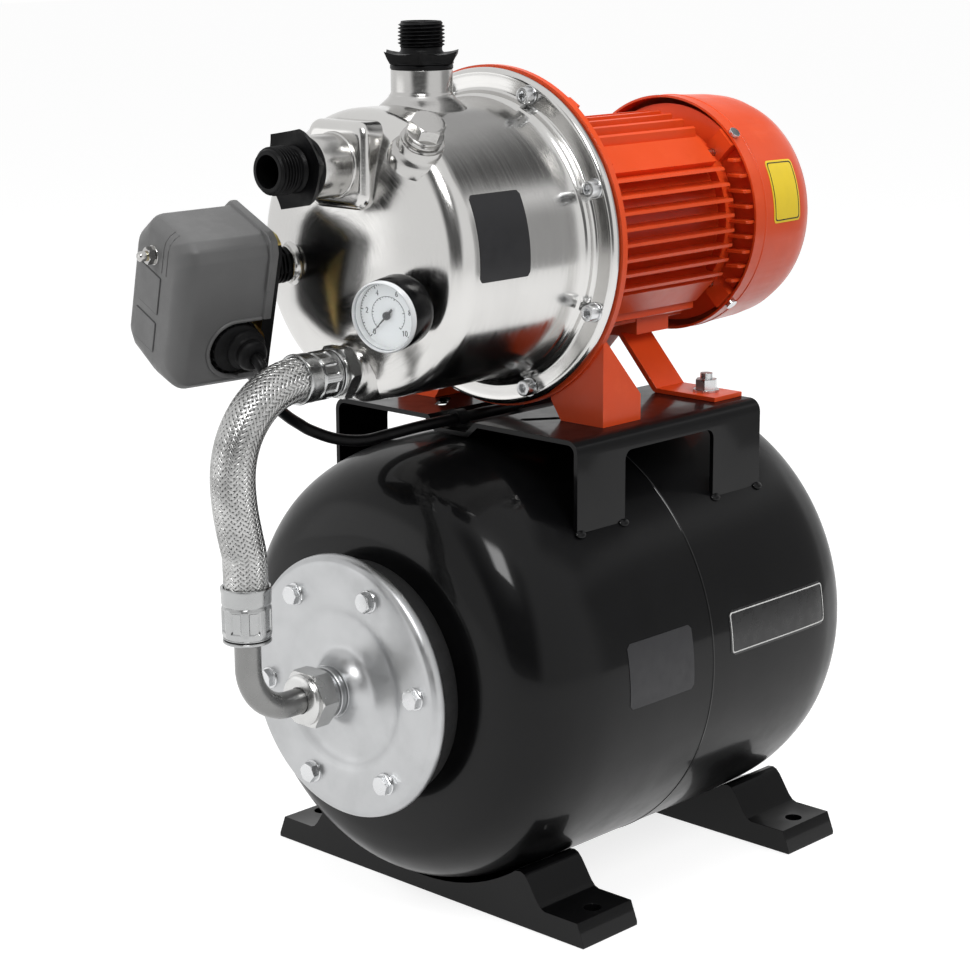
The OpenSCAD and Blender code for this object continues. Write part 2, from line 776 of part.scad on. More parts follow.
module motor_bracket() {
    color([0.88, 0.3, 0.15])
        difference() {
            union() {
                rev_y([[13, flange_seat_y], [casing_flange_r + 1.6, flange_seat_y],
                    [casing_flange_r + 1.6, bracket_back_y], [60, bracket_back_y],
                    [56, motor_front_y + 6], [motor_r - 1.4, motor_front_y + 6], [motor_r - 6, motor_front_y],
                    [24, motor_front_y + 2], [24, motor_front_y + 14], [17.6, motor_front_y + 14],
                    [17.6, motor_front_y + 1], [13, motor_front_y - 2]], pump_z);
                // stiffening ribs
                for (a = [30, 90, 150, 210, 330])
                    translate([0, 0, pump_z])
                        rotate([0, a, 0])
                            translate([54, bracket_back_y - 1, -2])
                                cube([38, 9, 4]);
                hull() {
                    translate([46, bracket_back_y - 2, plate_z + 12])
                        cube([42, 3, 40]);
                    translate([54, bracket_back_y - 2, plate_z])
                        cube([34, 3, 4]);
                    translate([54, bracket_back_y + 28, plate_z])
                        cube([34, 5, 16]);
                }
                // lug at the upper edge
                translate([0, 0, pump_z])
                    rotate([0, -58, 0])
                        translate([92, bracket_back_y - 1, -4.5])
                            cube([7, 13, 9]);
                hull() {
                    translate([-88, bracket_back_y - 2, plate_z + 12])
                        cube([42, 3, 40]);
                    translate([-88, bracket_back_y - 2, plate_z])
                        cube([34, 3, 4]);
                    translate([-88, bracket_back_y + 28, plate_z])
                        cube([34, 5, 16]);
                }
            }
            // hollow underside and bolt seat of each leg
            for (s = [-1, 1]) {
                translate([s * bracket_foot_x, bracket_bolt_y, plate_z - 1])
                    cylinder(h = 60, r = 4.3);
                translate([s * bracket_foot_x, bracket_bolt_y, plate_z + 6])
                    cylinder(h = 60, r = 9);
            }
            for (i = [0:casing_bolts_n - 1])
                translate([0, 0, pump_z])
                    rotate([0, 22.5 + i * 360 / casing_bolts_n, 0])
                        cyl_y(3.25, -62, -49, 0, casing_bolt_r);
            for (a = [45, 135, 225, 315])
                translate([0, 0, pump_z])
                    rotate([0, a, 0])
                        cyl_y(2.6, -55, -30, 0, 60);
        }
}

module pump_mount_bolts() {
    color([0.8, 0.8, 0.78]) {
        for (s = [-1, 1]) {
            mount_bolt(s * bracket_foot_x, bracket_bolt_y, plate_z + 6);
            mount_bolt(s * strap_foot_x, strap_y, plate_z + 3);
        }
    }
}

module mount_bolt(x, y, z) {
    translate([x, y, 0]) {
        translate([0, 0, plate_z - plate_t - 6])
            cylinder(h = z - plate_z + plate_t + 18, r = 4);
        translate([0, 0, z])
            cylinder(h = 1.6, r = 8.4);
        translate([0, 0, z + 1.6])
            cylinder(h = 6.5, r = 7.3, $fn = 6);
        translate([0, 0, plate_z - plate_t - 5.5])
            cylinder(h = 5.5, r = 7.3, $fn = 6);
    }
}

// ---- motor ---------------------------------------------------------------

module motor_housing() {
    color([0.88, 0.3, 0.15])
        difference() {
            union() {
                cyl_y(motor_r, motor_front_y + 6.2, motor_rear_y, pump_z);
                intersection() {
                    cyl_y(fin_r, motor_front_y + 8, motor_rear_y - 1, pump_z);
                    union() {
                        for (k = [-3.5:1:3.5]) {
                            translate([-80, motor_front_y, pump_z + k * fin_pitch - fin_t / 2])
                                cube([160, motor_rear_y - motor_front_y + 5, fin_t]);
                            translate([k * fin_pitch - fin_t / 2, motor_front_y, pump_z - 80])
                                cube([fin_t, motor_rear_y - motor_front_y + 5, 160]);
                        }
                    }
                }
                // smooth panel over each tie bolt, with a short ridge
                for (a = [45, 135, 225, 315])
                    translate([0, 0, pump_z])
                        rotate([0, a, 0]) {
                            translate([motor_r - 4, motor_front_y + 7.1, -10.5])
                                cube([fin_r - motor_r + 0.8, motor_rear_y - motor_front_y - 9.4, 21]);
                            translate([motor_r - 3.5, motor_front_y + 9.6, -4.5])
                                cube([fin_r - motor_r + 2.1, 33, 9]);
                        }
                // pad for the rear support
                translate([-26, strap_y - 16, pump_z - 71.5])
                    cube([52, 32, 27.5]);
                // seat for the terminal box
                translate([-72, -10, pump_z - 28])
                    cube([27, 76, 56]);
            }
            cyl_y(motor_r - 5, motor_front_y - 1, motor_rear_y + 1, pump_z);
            for (a = [45, 135, 225, 315])
                translate([0, 0, pump_z])
                    rotate([0, a, 0])
                        cyl_y(3.2, motor_front_y, motor_rear_y + 1, 0, 60);
            // lead opening into the terminal box
            translate([-80, 20, pump_z - 8])
                cube([40, 16, 16]);
            for (s = [-1, 1])
                translate([s * 16, strap_y, pump_z - 80])
                    cylinder(h = 22, r = 2.6);
        }
}

module stator_core() {
    color([0.45, 0.45, 0.47])
        difference() {
            cyl_y(motor_r - 5.02, -20, 62, pump_z);
            cyl_y(31, -21, 63, pump_z);
            for (i = [0:23])
                translate([0, 0, pump_z])
                    rotate([0, i * 15, 0])
                        translate([30, -21, -1.6])
                            cube([11, 84, 3.2]);
        }
}

module stator_windings() {
    color([0.72, 0.36, 0.12]) {
        rev_y([[33, -20], [45, -20], [46, -26], [43, -32], [35, -32], [33, -26]], pump_z);
        rev_y([[33, 62], [45, 62], [46, 68], [43, 74], [35, 74], [33, 68]], pump_z);
        for (i = [0:23])
            translate([0, 0, pump_z])
                rotate([0, i * 15, 0])
                    translate([33.5, -20.5, -1.4])
                        cube([7, 83, 2.8]);
    }
}

module rotor_core() {
    color([0.5, 0.5, 0.52])
        difference() {
            union() {
                cyl_y(30.4, -20, 62, pump_z);
                rev_y([[18, 61], [27, 61], [27, 69], [18, 69]], pump_z);
                rev_y([[18, -27], [27, -27], [27, -19], [18, -19]], pump_z);
            }
            cyl_y(9.98, -30, 70, pump_z);
        }
}

module motor_shaft() {
    color([0.7, 0.7, 0.72])
        rev_y([[0, -97], [4, -97], [4, -93], [5.98, -92], [5.98, -73], [6.58, -73], [6.58, -50], [shaft_r, -50],
            [shaft_r, -32], [10, -32], [10, 76], [shaft_r, 76], [shaft_r, 98], [6, 98], [6, 146], [0, 146]], pump_z);
}

module bearing(y0, y1, ro) {
    difference() {
        rev_y([[shaft_r + 0.03, y0], [ro - 0.6, y0], [ro, y0 + 0.6], [ro, y1 - 0.6], [ro - 0.6, y1],
            [shaft_r + 0.03, y1]], pump_z);
        rev_y([[shaft_r + 2.6, y0 - 1], [ro - 2.6, y0 - 1], [ro - 2.6, y0 + 0.7], [shaft_r + 2.6, y0 + 0.7]], pump_z);
        rev_y([[shaft_r + 2.6, y1 + 1], [ro - 2.6, y1 + 1], [ro - 2.6, y1 - 0.7], [shaft_r + 2.6, y1 - 0.7]], pump_z);
    }
}

module motor_bearings() {
    color([0.72, 0.72, 0.74]) {
        bearing(-46, -34.5, 17.58);
        bearing(79, 90.5, 17.58);
    }
}

module rear_end_bell() {
    color([0.88, 0.3, 0.15])
        difference() {
            union() {
                rev_y([[13, 92], [17.6, 90.6], [17.6, 78], [24, 78], [24, 92], [motor_r - 6, motor_rear_y],
                    [60, motor_rear_y + 0.1], [60, bell_rear_y - 4], [56, bell_rear_y], [30, bell_rear_y],
                    [22, bell_rear_y - 6], [13, bell_rear_y - 6]], pump_z);
                for (a = [45, 135, 225, 315])
                    translate([0, 0, pump_z])
                        rotate([0, a, 0])
                            translate([50, bell_rear_y - 6, -7])
                                cube([cover_r - 52.4, 12, 14]);
            }
            for (a = [0:60:300])
                translate([0, 0, pump_z])
                    rotate([0, a, 0])
                        translate([30, 80, -7])
                            cube([16, 40, 14]);
            for (a = [45, 135, 225, 315])
                translate([0, 0, pump_z])
                    rotate([0, a, 0]) {
                        cyl_y(2.7, 90, 118, 0, 60);
                        translate([62, bell_rear_y, 0])
                            rotate([0, 90, 0])
                                cylinder(h = 20, r = 1.9);
                    }
        }
}

module motor_tie_bolts() {
    color([0.8, 0.8, 0.78])
        for (a = [45, 135, 225, 315])
            translate([0, 0, pump_z])
                rotate([0, a, 0])
                    translate([60, 0, 0]) {
                        cyl_y(2.5, -52, bell_rear_y + 6, 0);
                        hex_y(4.6, bell_rear_y + 6, bell_rear_y + 10, 0);
                    }
}

module cooling_fan() {
    color([0.08, 0.08, 0.08])
        difference() {
            union() {
                cyl_y(13, fan_y - 8, fan_y + 12, pump_z);
                cyl_y(62, fan_y - 8, fan_y - 5.5, pump_z);
                for (i = [0:fan_blades - 1])
                    translate([0, 0, pump_z])
                        rotate([0, i * 360 / fan_blades, 0])
                            translate([12, fan_y - 6, -1.25])
                                cube([50, 22, 2.5]);
            }
            cyl_y(6.02, fan_y - 20, fan_y + 30, pump_z);
        }
}

module fan_cover() {
    color([0.88, 0.3, 0.15])
        difference() {
            rev_y([[cover_r - 1.5, cover_front_y], [cover_r, cover_front_y], [cover_r - 2, 150], [cover_r - 3.2, 160],
                [cover_r - 6, 168], [cover_r - 11, 172.5], [cover_r - 16, cover_rear_y], [0, cover_rear_y],
                [0, cover_rear_y - 1.5], [cover_r - 16.5, cover_rear_y - 1.5], [cover_r - 12, 171],
                [cover_r - 7.5, 166.6], [cover_r - 4.8, 159.5], [cover_r - 3.5, 150]], pump_z);
            // air slots
            for (a = [0:15:345])
                translate([0, 0, pump_z])
                    rotate([0, a, 0]) {
                        translate([33, cover_rear_y - 5, -2])
                            cube([20, 10, 4]);
                    }
            for (a = [0:30:330])
                translate([0, 0, pump_z])
                    rotate([0, a, 0])
                        translate([15, cover_rear_y - 5, -2])
                            cube([13, 10, 4]);
            for (a = [45, 135, 225, 315])
                translate([0, 0, pump_z])
                    rotate([0, a, 0])
                        translate([68, bell_rear_y, 0])
                            rotate([0, 90, 0])
                                cylinder(h = 20, r = 2.2);
        }
}

module pan_screw(l) {
    // head on +Z, shank down
    cylinder(h = 2.2, r = 3.8);
    translate([0, 0, -l])
        cylinder(h = l + 0.5, r = 1.85);
}

module cover_screws() {
    color([0.8, 0.8, 0.78]) {
        for (a = [45, 135, 225, 315])
            translate([0, 0, pump_z])
                rotate([0, a, 0])
                    translate([cover_r + 0.1, bell_rear_y, 0])
                        rotate([0, 90, 0])
                            pan_screw(10);
        for (y = [-2, 58])
            for (s = [-1, 1])
                translate([-110.1, y, pump_z + s * 24])
                    rotate([0, -90, 0])
                        pan_screw(10);
    }
}

module terminal_box() {
    color([0.05, 0.05, 0.05])
        difference() {
            translate([-72.1, 28, pump_z])
                rotate([0, -90, 0])
                    round_box(62, 76, 34, 8);
            translate([-75.1, 28, pump_z])
                rotate([0, -90, 0])
                    round_box(56, 52, 40, 5);
            translate([-75.1, 28, pump_z])
                rotate([0, -90, 0])
                    round_box(36, 70, 40, 5);
            translate([-80, 22, pump_z - 6])
                cube([20, 12, 12]);
            // entry holes for the two leads
            for (y = [14, 44])
                translate([-89, y, pump_z - 40])
                    cylinder(h = 20, r = 8.1);
            for (y = [-2, 58])
                for (s = [-1, 1])
                    translate([-120, y, pump_z + s * 24])
                        rotate([0, 90, 0])
                            cylinder(h = 25, r = 1.9);
        }
}

module terminal_box_lid() {
    color([0.05, 0.05, 0.05])
        difference() {
            translate([-106.2, 28, pump_z])
                rotate([0, -90, 0])
                    round_box(62, 76, 3.8, 8);
            for (y = [-2, 58])
                for (s = [-1, 1])
                    translate([-120, y, pump_z + s * 24])
                        rotate([0, 90, 0])
                            cylinder(h = 25, r = 2);
        }
}

module start_capacitor() {
    color([0.85, 0.85, 0.85])
        translate([-88.3, 4, pump_z + 8])
            rotate([-90, 0, 0]) {
                cylinder(h = 45, r = 13);
                translate([0, 0, 44])
                    cylinder(h = 4, r = 10);
                for (s = [-1, 1])
                    translate([-0.4, s * 5 - 2, 45])
                        cube([0.8, 4, 9]);
            }
}

module motor_support_strap() {
    color([0.88, 0.3, 0.15])
        difference() {
            translate([0, strap_y + 14, 0])
                rotate([90, 0, 0])
                    linear_extrude(height = 28)
                        polygon([[-89, plate_z], [-40, plate_z], [-38, plate_z + 1], [-9, strap_top - 3],
                            [9, strap_top - 3], [38, plate_z + 1], [40, plate_z], [89, plate_z],
                            [89, plate_z + 3], [41.5, plate_z + 3], [11, strap_top],
                            [-11, strap_top], [-41.5, plate_z + 3], [-89, plate_z + 3]]);
            for (s = [-1, 1])
                translate([s * strap_foot_x, strap_y, plate_z - 5])
                    cylinder(h = 12, r = 4.3);
        }
}

// ---- pressure switch -----------------------------------------------------

sw_y0 = -nipple_l;
sw_y1 = sw_y0 - switch_base_t;
sw_y2 = sw_y1 - switch_d;
stud_u = switch_u - 6.4;
stud_v = switch_v + 26.7;
gland_tilt = 0;

module switch_outline(o, shift = 0) {
    w = switch_w / 2 - o;
    h = switch_h / 2 - o;
    translate([switch_u + shift, switch_v])
        offset(r = 3, $fn = 16)
            polygon([[-w + 3, -h + 10], [-w + 7, -h + 6.5], [w - 18, -h + 3], [w - 5, -h + 3.8], [w - 3, -h + 6],
                [w - 3, h - 9], [w - 5, h - 5], [w - 9, h - 3], [-w + 12, h - 3], [-w + 3, h - 13.5]]);
}

// Plate of the switch outline between two local y values.
module switch_slab(o, y0, y1, shift = 0) {
    translate([0, y1, 0])
        rotate([90, 0, 0])
            linear_extrude(height = y1 - y0)
                switch_outline(o, shift);
}

module switch_nipple() {
    color([0.04, 0.04, 0.04])
        switch_frame()
            difference() {
                union() {
                    cyl_y(6.5, -6, 6, 0);
                    hex_y(10.5, sw_y0, -4.05, 0);
                    cyl_y(6.4, sw_y0 - 8, sw_y0 + 1, 0);
                }
                cyl_y(3.5, -40, 10, 0);
            }
}

module switch_base() {
    color([0.12, 0.12, 0.13])
        switch_frame()
            difference() {
                union() {
                    switch_slab(2.6, sw_y1, sw_y0 - 4);
                    cyl_y(14, sw_y0 - 8, sw_y0, 0);
                    // stud for the cover nut
                    translate([stud_u, 0, stud_v])
                        cyl_y(3, sw_y2 - 6, sw_y1 + 1, 0);
                    // hinge ears of the contact lever
                    for (s = [-1, 1])
                        translate([s * 16 - 2, sw_y1 - 12, -30])
                            cube([4, 13, 8]);
                }
                cyl_y(6.45, sw_y0 - 8.2, sw_y0 + 1, 0);
                cyl_y(10, sw_y1 - 1, sw_y1 + 5, 0);
                translate([-20, sw_y1 - 9, -26])
                    rotate([0, 90, 0])
                        cylinder(h = 40, r = 1.55);
                cyl_y(9, sw_y1 - 1, sw_y0 - 8, 0);
                gland_place()
                    translate([0, 0, -3])
                        cylinder(h = 40, r = 14.4);
            }
}

module switch_cover() {
    color([0.42, 0.42, 0.42])
        switch_frame()
            difference() {
                union() {
                    hull() {
                        switch_slab(0, sw_y2 + 9, sw_y1);
                        switch_slab(1.6, sw_y2 + 4.5, sw_y2 + 5.5, -1);
                        switch_slab(3.8, sw_y2 + 1.5, sw_y2 + 2.5, -2.2);
                        switch_slab(7, sw_y2, sw_y2 + 1, -3.6);
                    }
                    switch_slab(-2, sw_y1 - 2, sw_y1 + 3);
                    // raised panels on the face
                    translate([-20.5, sw_y2 - 0.7, -20])
                        cube([24.2, 3, 23]);
                    translate([-21, sw_y2 - 0.7, -44.5])
                        cube([24, 3, 18.5]);
                }
                hull() {
                    switch_slab(2.4, sw_y2 + 10, sw_y1 + 6);
                    switch_slab(4.2, sw_y2 + 6.4, sw_y2 + 7.4, -1);
                    switch_slab(6.4, sw_y2 + 3.8, sw_y2 + 4.8, -2.2);
                    switch_slab(9.4, sw_y2 + 2.4, sw_y2 + 3.4, -3.6);
                }
                translate([stud_u, 0, stud_v])
                    cyl_y(3.3, sw_y2 - 1, sw_y2 + 6, 0);
                // arched openings for the two leads
                translate([switch_u, sw_y1 - 18, switch_v - 20.5])
                    rotate([0, 90, 0]) {
                        cylinder(h = 60, r = 17.5);
                        translate([-17.5, 0, 0])
                            cube([50, 40, 60]);
                    }
                translate([switch_u, sw_y1 - 8, switch_v + 6])
                    rotate([0, -90, 0]) {
                        cylinder(h = 60, r = 9.6);
                        translate([-9.6, -1, 0])
                            cube([19.2, 20, 60]);
                    }
            }
}

module switch_cover_nut() {
    color([0.8, 0.8, 0.78])
        switch_frame()
            translate([stud_u, 0, stud_v])
                difference() {
                    union() {
                        hex_y(5.8, sw_y2 - 6, sw_y2 - 0.05, 0);
                        hull() {
                            cyl_y(4.6, sw_y2 - 7, sw_y2 - 5, 0);
                            cyl_y(2, sw_y2 - 10.5, sw_y2 - 7, 0);
                        }
                    }
                    cyl_y(3.08, sw_y2 - 6.5, sw_y2 + 1, 0);
                }
}

module switch_diaphragm() {
    color([0.06, 0.06, 0.06])
        switch_frame()
            cyl_y(8.9, sw_y1 + 2.4, sw_y1 + 3.6, 0);
}

module switch_plunger() {
    color([0.7, 0.7, 0.72])
        switch_frame() {
            cyl_y(7.5, sw_y1 + 0.6, sw_y1 + 2.35, 0);
            cyl_y(2.5, sw_y1 - 5.5, sw_y1 + 1, 0);
        }
}

module contact_lever() {
    color([0.75, 0.75, 0.72])
        switch_frame()
            difference() {
                union() {
                    translate([-11, sw_y1 - 7.6, -30])
                        cube([22, 2, 56]);
                    translate([-13.8, sw_y1 - 9, -26])
                        rotate([0, 90, 0])
                            cylinder(h = 27.6, r = 2.6);
                    translate([-13.8, sw_y1 - 9, -26])
                        cube([27.6, 3, 4]);
                }
                translate([-20, sw_y1 - 9, -26])
                    rotate([0, 90, 0])
                        cylinder(h = 40, r = 1.55);
                translate([stud_u, 0, stud_v])
                    cyl_y(4.6, sw_y1 - 10, sw_y1 - 4, 0);
            }
}

module range_spring() {
    color([0.7, 0.7, 0.72])
        switch_frame()
            translate([0, sw_y1 - 26, -10])
                rotate([-90, 0, 0])
                    difference() {
                        cylinder(h = 18.3, r = 6);
                        translate([0, 0, -1])
                            cylinder(h = 22, r = 4);
                    }
}

module contact_block() {
    color([0.1, 0.1, 0.1])
        switch_frame()
            difference() {
                union() {
                    translate([-17, sw_y1 - 30, 8])
                        cube([39, 18, 20]);
                    translate([-17, sw_y1 - 13, 8])
                        cube([5.5, 13, 20]);
                    translate([13, sw_y1 - 13, 8])
                        cube([9, 13, 20]);
                    translate([-8, sw_y1 - 30, -18])
                        cube([16, 4, 27]);
                }
                for (i = [0:3])
                    translate([-12 + i * 10, sw_y1 - 31, 23])
                        rotate([-90, 0, 0])
                            cylinder(h = 8, r = 3.4);
                translate([stud_u, 0, stud_v])
                    cyl_y(3.4, sw_y1 - 40, sw_y1, 0);
            }
}

module cable_glands() {
    color([0.04, 0.04, 0.04]) {
        switch_frame()
            gland_place()
                difference() {
                    union() {
                        cylinder(h = 10, r = 13.8);
                        translate([0, 0, 8])
                            cylinder(h = 12, r = 8.5);
                    }
                    translate([0, 0, -1])
                        cylinder(h = 40, r = 3.7);
                }
        translate([-89, 14, pump_z - 37.5])
            gland_body();
        translate([-89, 44, pump_z - 37.5])
            gland_body();
    }
}

module gland_place() {
    translate([switch_u + 23, sw_y1 - 11, switch_v - 21.7])
        rotate([0, 90 + gland_tilt, 0])
            children();
}

module gland_body() {
    difference() {
        union() {
            cylinder(h = 14, r = 8);
            translate([0, 0, -1])
                cylinder(h = 7, r = 10.5, $fn = 6);
        }
        translate([0, 0, -10])
            cylinder(h = 40, r = 3.7);
    }
}

// ---- gauge ---------------------------------------------------------------

gauge_back = -7;
gauge_front = gauge_back - gauge_d;

module gauge_case() {
    color([0.04, 0.04, 0.04])
        gauge_frame()
            difference() {
                union() {
                    cyl_y(gauge_r, gauge_front, gauge_back - 1, 0);
                    cyl_y(gauge_r - 4, gauge_back - 2, gauge_back, 0);
                    cyl_y(6, gauge_back - 1, 8, 0);
                    hex_y(7.8, gauge_back, -3.1, 0);
                }
                cyl_y(gauge_r - 1.6, gauge_front - 1, gauge_front + 9, 0);
                cyl_y(2.2, gauge_front + 8, 9, 0);
            }
}

module gauge_dial() {
    color([0.92, 0.92, 0.9])
        gauge_frame()
            difference() {
                cyl_y(gauge_r - 1.65, gauge_front + 7.4, gauge_front + 8.95, 0);
                cyl_y(1.6, gauge_front, gauge_front + 12, 0);
            }
}

module gauge_needle() {
    color([0.05, 0.05, 0.05])
        gauge_frame()
            rotate([0, -135, 0]) {
                cyl_y(1.3, gauge_front + 5, gauge_front + 12, 0);
                cyl_y(2.2, gauge_front + 5, gauge_front + 6.6, 0);
                translate([-0.5, gauge_front + 5.6, -6])
                    cube([1, 0.6, 20]);
            }
}

module gauge_lens() {
    color([0.9, 0.95, 1, 0.3])
        gauge_frame()
            cyl_y(gauge_r - 1.65, gauge_front + 1, gauge_front + 3, 0);
}

// ---- hose and lead -------------------------------------------------------

module pressure_hose() {
    color([0.7, 0.7, 0.7])
        tube_path(hose_pts, hose_r, 12);
}

module hose_ferrules() {
    color([0.8, 0.8, 0.78]) {
        // at the casing, its axis runs forward
        translate([0, -196, port_z])
            rotate([90, 0, 0])
                difference() {
                    union() {
                        cylinder(h = 20, r = hose_r + 1.2);
                        translate([0, 0, 18])
                            cylinder(h = 11, r = hose_r + 1.7);
                    }
                    translate([0, 0, 16])
                        cylinder(h = 30, r = hose_r + 0.05);
                    translate([0, 0, -1])
                        cylinder(h = 30, r = 7);
                }
        // over the elbow's upright leg
        translate([0, elbow_y, tank_z + 45])
            difference() {
                union() {
                    cylinder(h = 26, r = hose_r + 1.2);
                    translate([0, 0, 24])
                        cylinder(h = 9, r = hose_r + 1.7);
                }
                translate([0, 0, 25])
                    cylinder(h = 30, r = hose_r + 0.05);
                translate([0, 0, -1])
                    cylinder(h = 30, r = elbow_r + 0.05);
            }
    }
}

module hose_nuts() {
    color([0.8, 0.8, 0.78]) {
        // nut on the casing stub
        difference() {
            union() {
                hex_y(17, -195, -187, port_z);
                cyl_y(14.15, -196, -194, port_z);
            }
            cyl_y(13.05, -191, -180, port_z);
            cyl_y(7, -210, -180, port_z);
        }
        // union nut on the tank neck
        difference() {
            hex_y(18.6, port_tank_y - 22, port_tank_y - 6, tank_z);
            cyl_y(14.1, port_tank_y - 16, port_tank_y - 5, tank_z);
            cyl_y(elbow_r + 0.4, port_tank_y - 24, port_tank_y + 1, tank_z);
        }
    }
}

module hose_elbow() {
    color([0.75, 0.75, 0.73])
        difference() {
            union() {
                // upright leg
                translate([0, elbow_y, tank_z + 30])
                    cylinder(h = 38, r = elbow_r);
                // bend
                translate([0, elbow_y + 30, tank_z + 30])
                    rotate([0, 90, 0])
                        rotate([0, 0, -90])
                            rotate_extrude(angle = 90)
                                translate([30, 0])
                                    circle(r = elbow_r, $fn = 32);
                // level leg
                cyl_y(elbow_r, elbow_y + 30, port_tank_y - 10.8, tank_z);
                cyl_y(13.9, port_tank_y - 15, port_tank_y - 10.5, tank_z);
            }
            translate([0, elbow_y, tank_z + 31])
                cylinder(h = 50, r = elbow_r - 1.4);
            cyl_y(elbow_r - 1.4, elbow_y + 30.5, port_tank_y + 6, tank_z);
        }
}

module motor_lead() {
    color([0.04, 0.04, 0.04])
        tube_path([for (p = lead_pts) [p[0], p[1], plate_z + p[2]]], lead_r, 10, [0, 1, 0]);
}

tank_front_shell();
tank_rear_shell();
tank_flange();
tank_flange_bolts();
tank_bladder();
tank_valve_body();
tank_valve_pin();
tank_valve_cap();
front_foot();
rear_foot();
pump_mount_plate();
cable_clip();
pump_casing();
inlet_adapter();
outlet_adapter();
priming_plug();
ejector_housing();
ejector_nozzle();
diffuser();
impeller();
seal_rotating_ring();
seal_seat();
casing_gasket();
casing_bolts();
motor_bracket();
pump_mount_bolts();
motor_housing();
stator_core();
stator_windings();
rotor_core();
motor_shaft();
motor_bearings();
rear_end_bell();
motor_tie_bolts();
cooling_fan();
fan_cover();
cover_screws();
terminal_box();
terminal_box_lid();
start_capacitor();
motor_support_strap();
switch_base();
switch_cover();
switch_cover_nut();
switch_diaphragm();
switch_plunger();
contact_lever();
range_spring();
contact_block();
cable_glands();
switch_nipple();
gauge_case();
gauge_dial();
gauge_needle();
gauge_lens();
pressure_hose();
hose_ferrules();
hose_nuts();
hose_elbow();
motor_lead();
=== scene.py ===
import json
import math
import bpy
import bmesh
from mathutils import Matrix, Vector

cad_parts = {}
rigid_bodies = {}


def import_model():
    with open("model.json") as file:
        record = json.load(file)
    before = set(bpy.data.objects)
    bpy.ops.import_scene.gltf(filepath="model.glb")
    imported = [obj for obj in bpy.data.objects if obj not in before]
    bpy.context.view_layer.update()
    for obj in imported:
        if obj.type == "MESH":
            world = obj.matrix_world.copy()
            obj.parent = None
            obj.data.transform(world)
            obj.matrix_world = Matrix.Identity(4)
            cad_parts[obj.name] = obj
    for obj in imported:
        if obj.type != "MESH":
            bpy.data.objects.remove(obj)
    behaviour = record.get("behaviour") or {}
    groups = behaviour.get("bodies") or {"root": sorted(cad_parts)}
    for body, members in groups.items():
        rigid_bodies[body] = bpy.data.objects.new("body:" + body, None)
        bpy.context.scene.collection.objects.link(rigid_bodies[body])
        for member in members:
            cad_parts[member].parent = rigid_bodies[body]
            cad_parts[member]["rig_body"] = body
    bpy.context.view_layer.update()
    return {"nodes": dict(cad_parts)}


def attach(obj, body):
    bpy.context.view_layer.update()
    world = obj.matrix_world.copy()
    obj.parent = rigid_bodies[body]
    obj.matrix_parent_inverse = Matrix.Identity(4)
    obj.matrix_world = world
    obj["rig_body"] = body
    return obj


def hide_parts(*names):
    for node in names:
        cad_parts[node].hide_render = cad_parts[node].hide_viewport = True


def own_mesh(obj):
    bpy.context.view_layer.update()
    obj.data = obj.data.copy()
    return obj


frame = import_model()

# Objects are in metres in the shared frame: +Z up, the pump's face towards -Y. Profiles and sections are in mm.
MM = 0.001
ON_AXIS = 1e-4                                  # radius in mm of a ring that closes a shape on its axis
TANK_Z, PUMP_Z, PLATE_Z, PORT_Z = 0.150, 0.408, 0.300, 0.342
INLET_Z, OUTLET_Y, FLANGE_Y = PUMP_Z + 0.054, -0.120, -0.066
INLET_MOUTH_Y, OUTLET_MOUTH_Z = -0.2145, PUMP_Z + 0.1048
HOSE_Y, HOSE_D, LEAD_D = -0.2665, 0.0245, 0.007  # the hose comes straight down on the tank at HOSE_Y
TANK_R = 0.140
DOME_R, DOME_BACK, BARREL_R = 230, 40.8, 85.0    # in mm: the casing's domed face, its centre behind Y = 0, its barrel
pi, tau, radians = math.pi, math.tau, math.radians

# x, y, z, width, height, looks at, brightness: cards that only reflections see
CARDS = [
    (1.30, -1.85, 1.3, 3.6, 4.2, (0, 0, 0.3), 0.10),
    (0.95, 1.25, 0.45, 1.9, 1.7, (0, 0, 0.38), 0.42),
    (0.9, 1.9, 2.4, 3.2, 1.9, (0, 0, 0.35), 0.40),
    (0.35, 1.85, 2.0, 2.4, 0.8, (0, 0, 0.4), 0.10),
    (-0.9, 2.2, 1.9, 2.2, 2.6, (0, 0, 0.35), 0.45),
    (1.15, -1.35, 2.1, 0.85, 1.3, (0, 0, 0.3), 17.0),
    (-1.75, -1.95, 0.25, 2.2, 1.3, (0, 0, 0.4), 1.6),
]
# x, y, z, width, height, looks at, watts: lamps that reflections don't see
LAMPS = [
    (-1.0, -1.5, 1.7, 0.9, 0.9, (0, 0, 0.3), 23),
    (1.5, -0.2, 1.5, 0.7, 0.9, (0, 0, 0.3), 13),
    (0.2, 0.4, 2.0, 1.2, 1.2, (0, 0, 0.3), 17),
]
FLOOR_SIZE, FLOOR_Z, FLOOR_GREY, FLOOR_SEEN = 28, -0.0004, 0.42, 0.80
WORLD_SEEN, WORLD_LIGHT = 1.0, 0.42


# ---- camera and stage ----

def put(name, data):
    o = bpy.data.objects.new(name, data)
    bpy.context.scene.collection.objects.link(o)
    return o


def aim(o, place, target, axis):
    o.location = place
    o.rotation_mode = "QUATERNION"
    o.rotation_quaternion = (Vector(target) - Vector(place)).to_track_quat(axis, "Y")


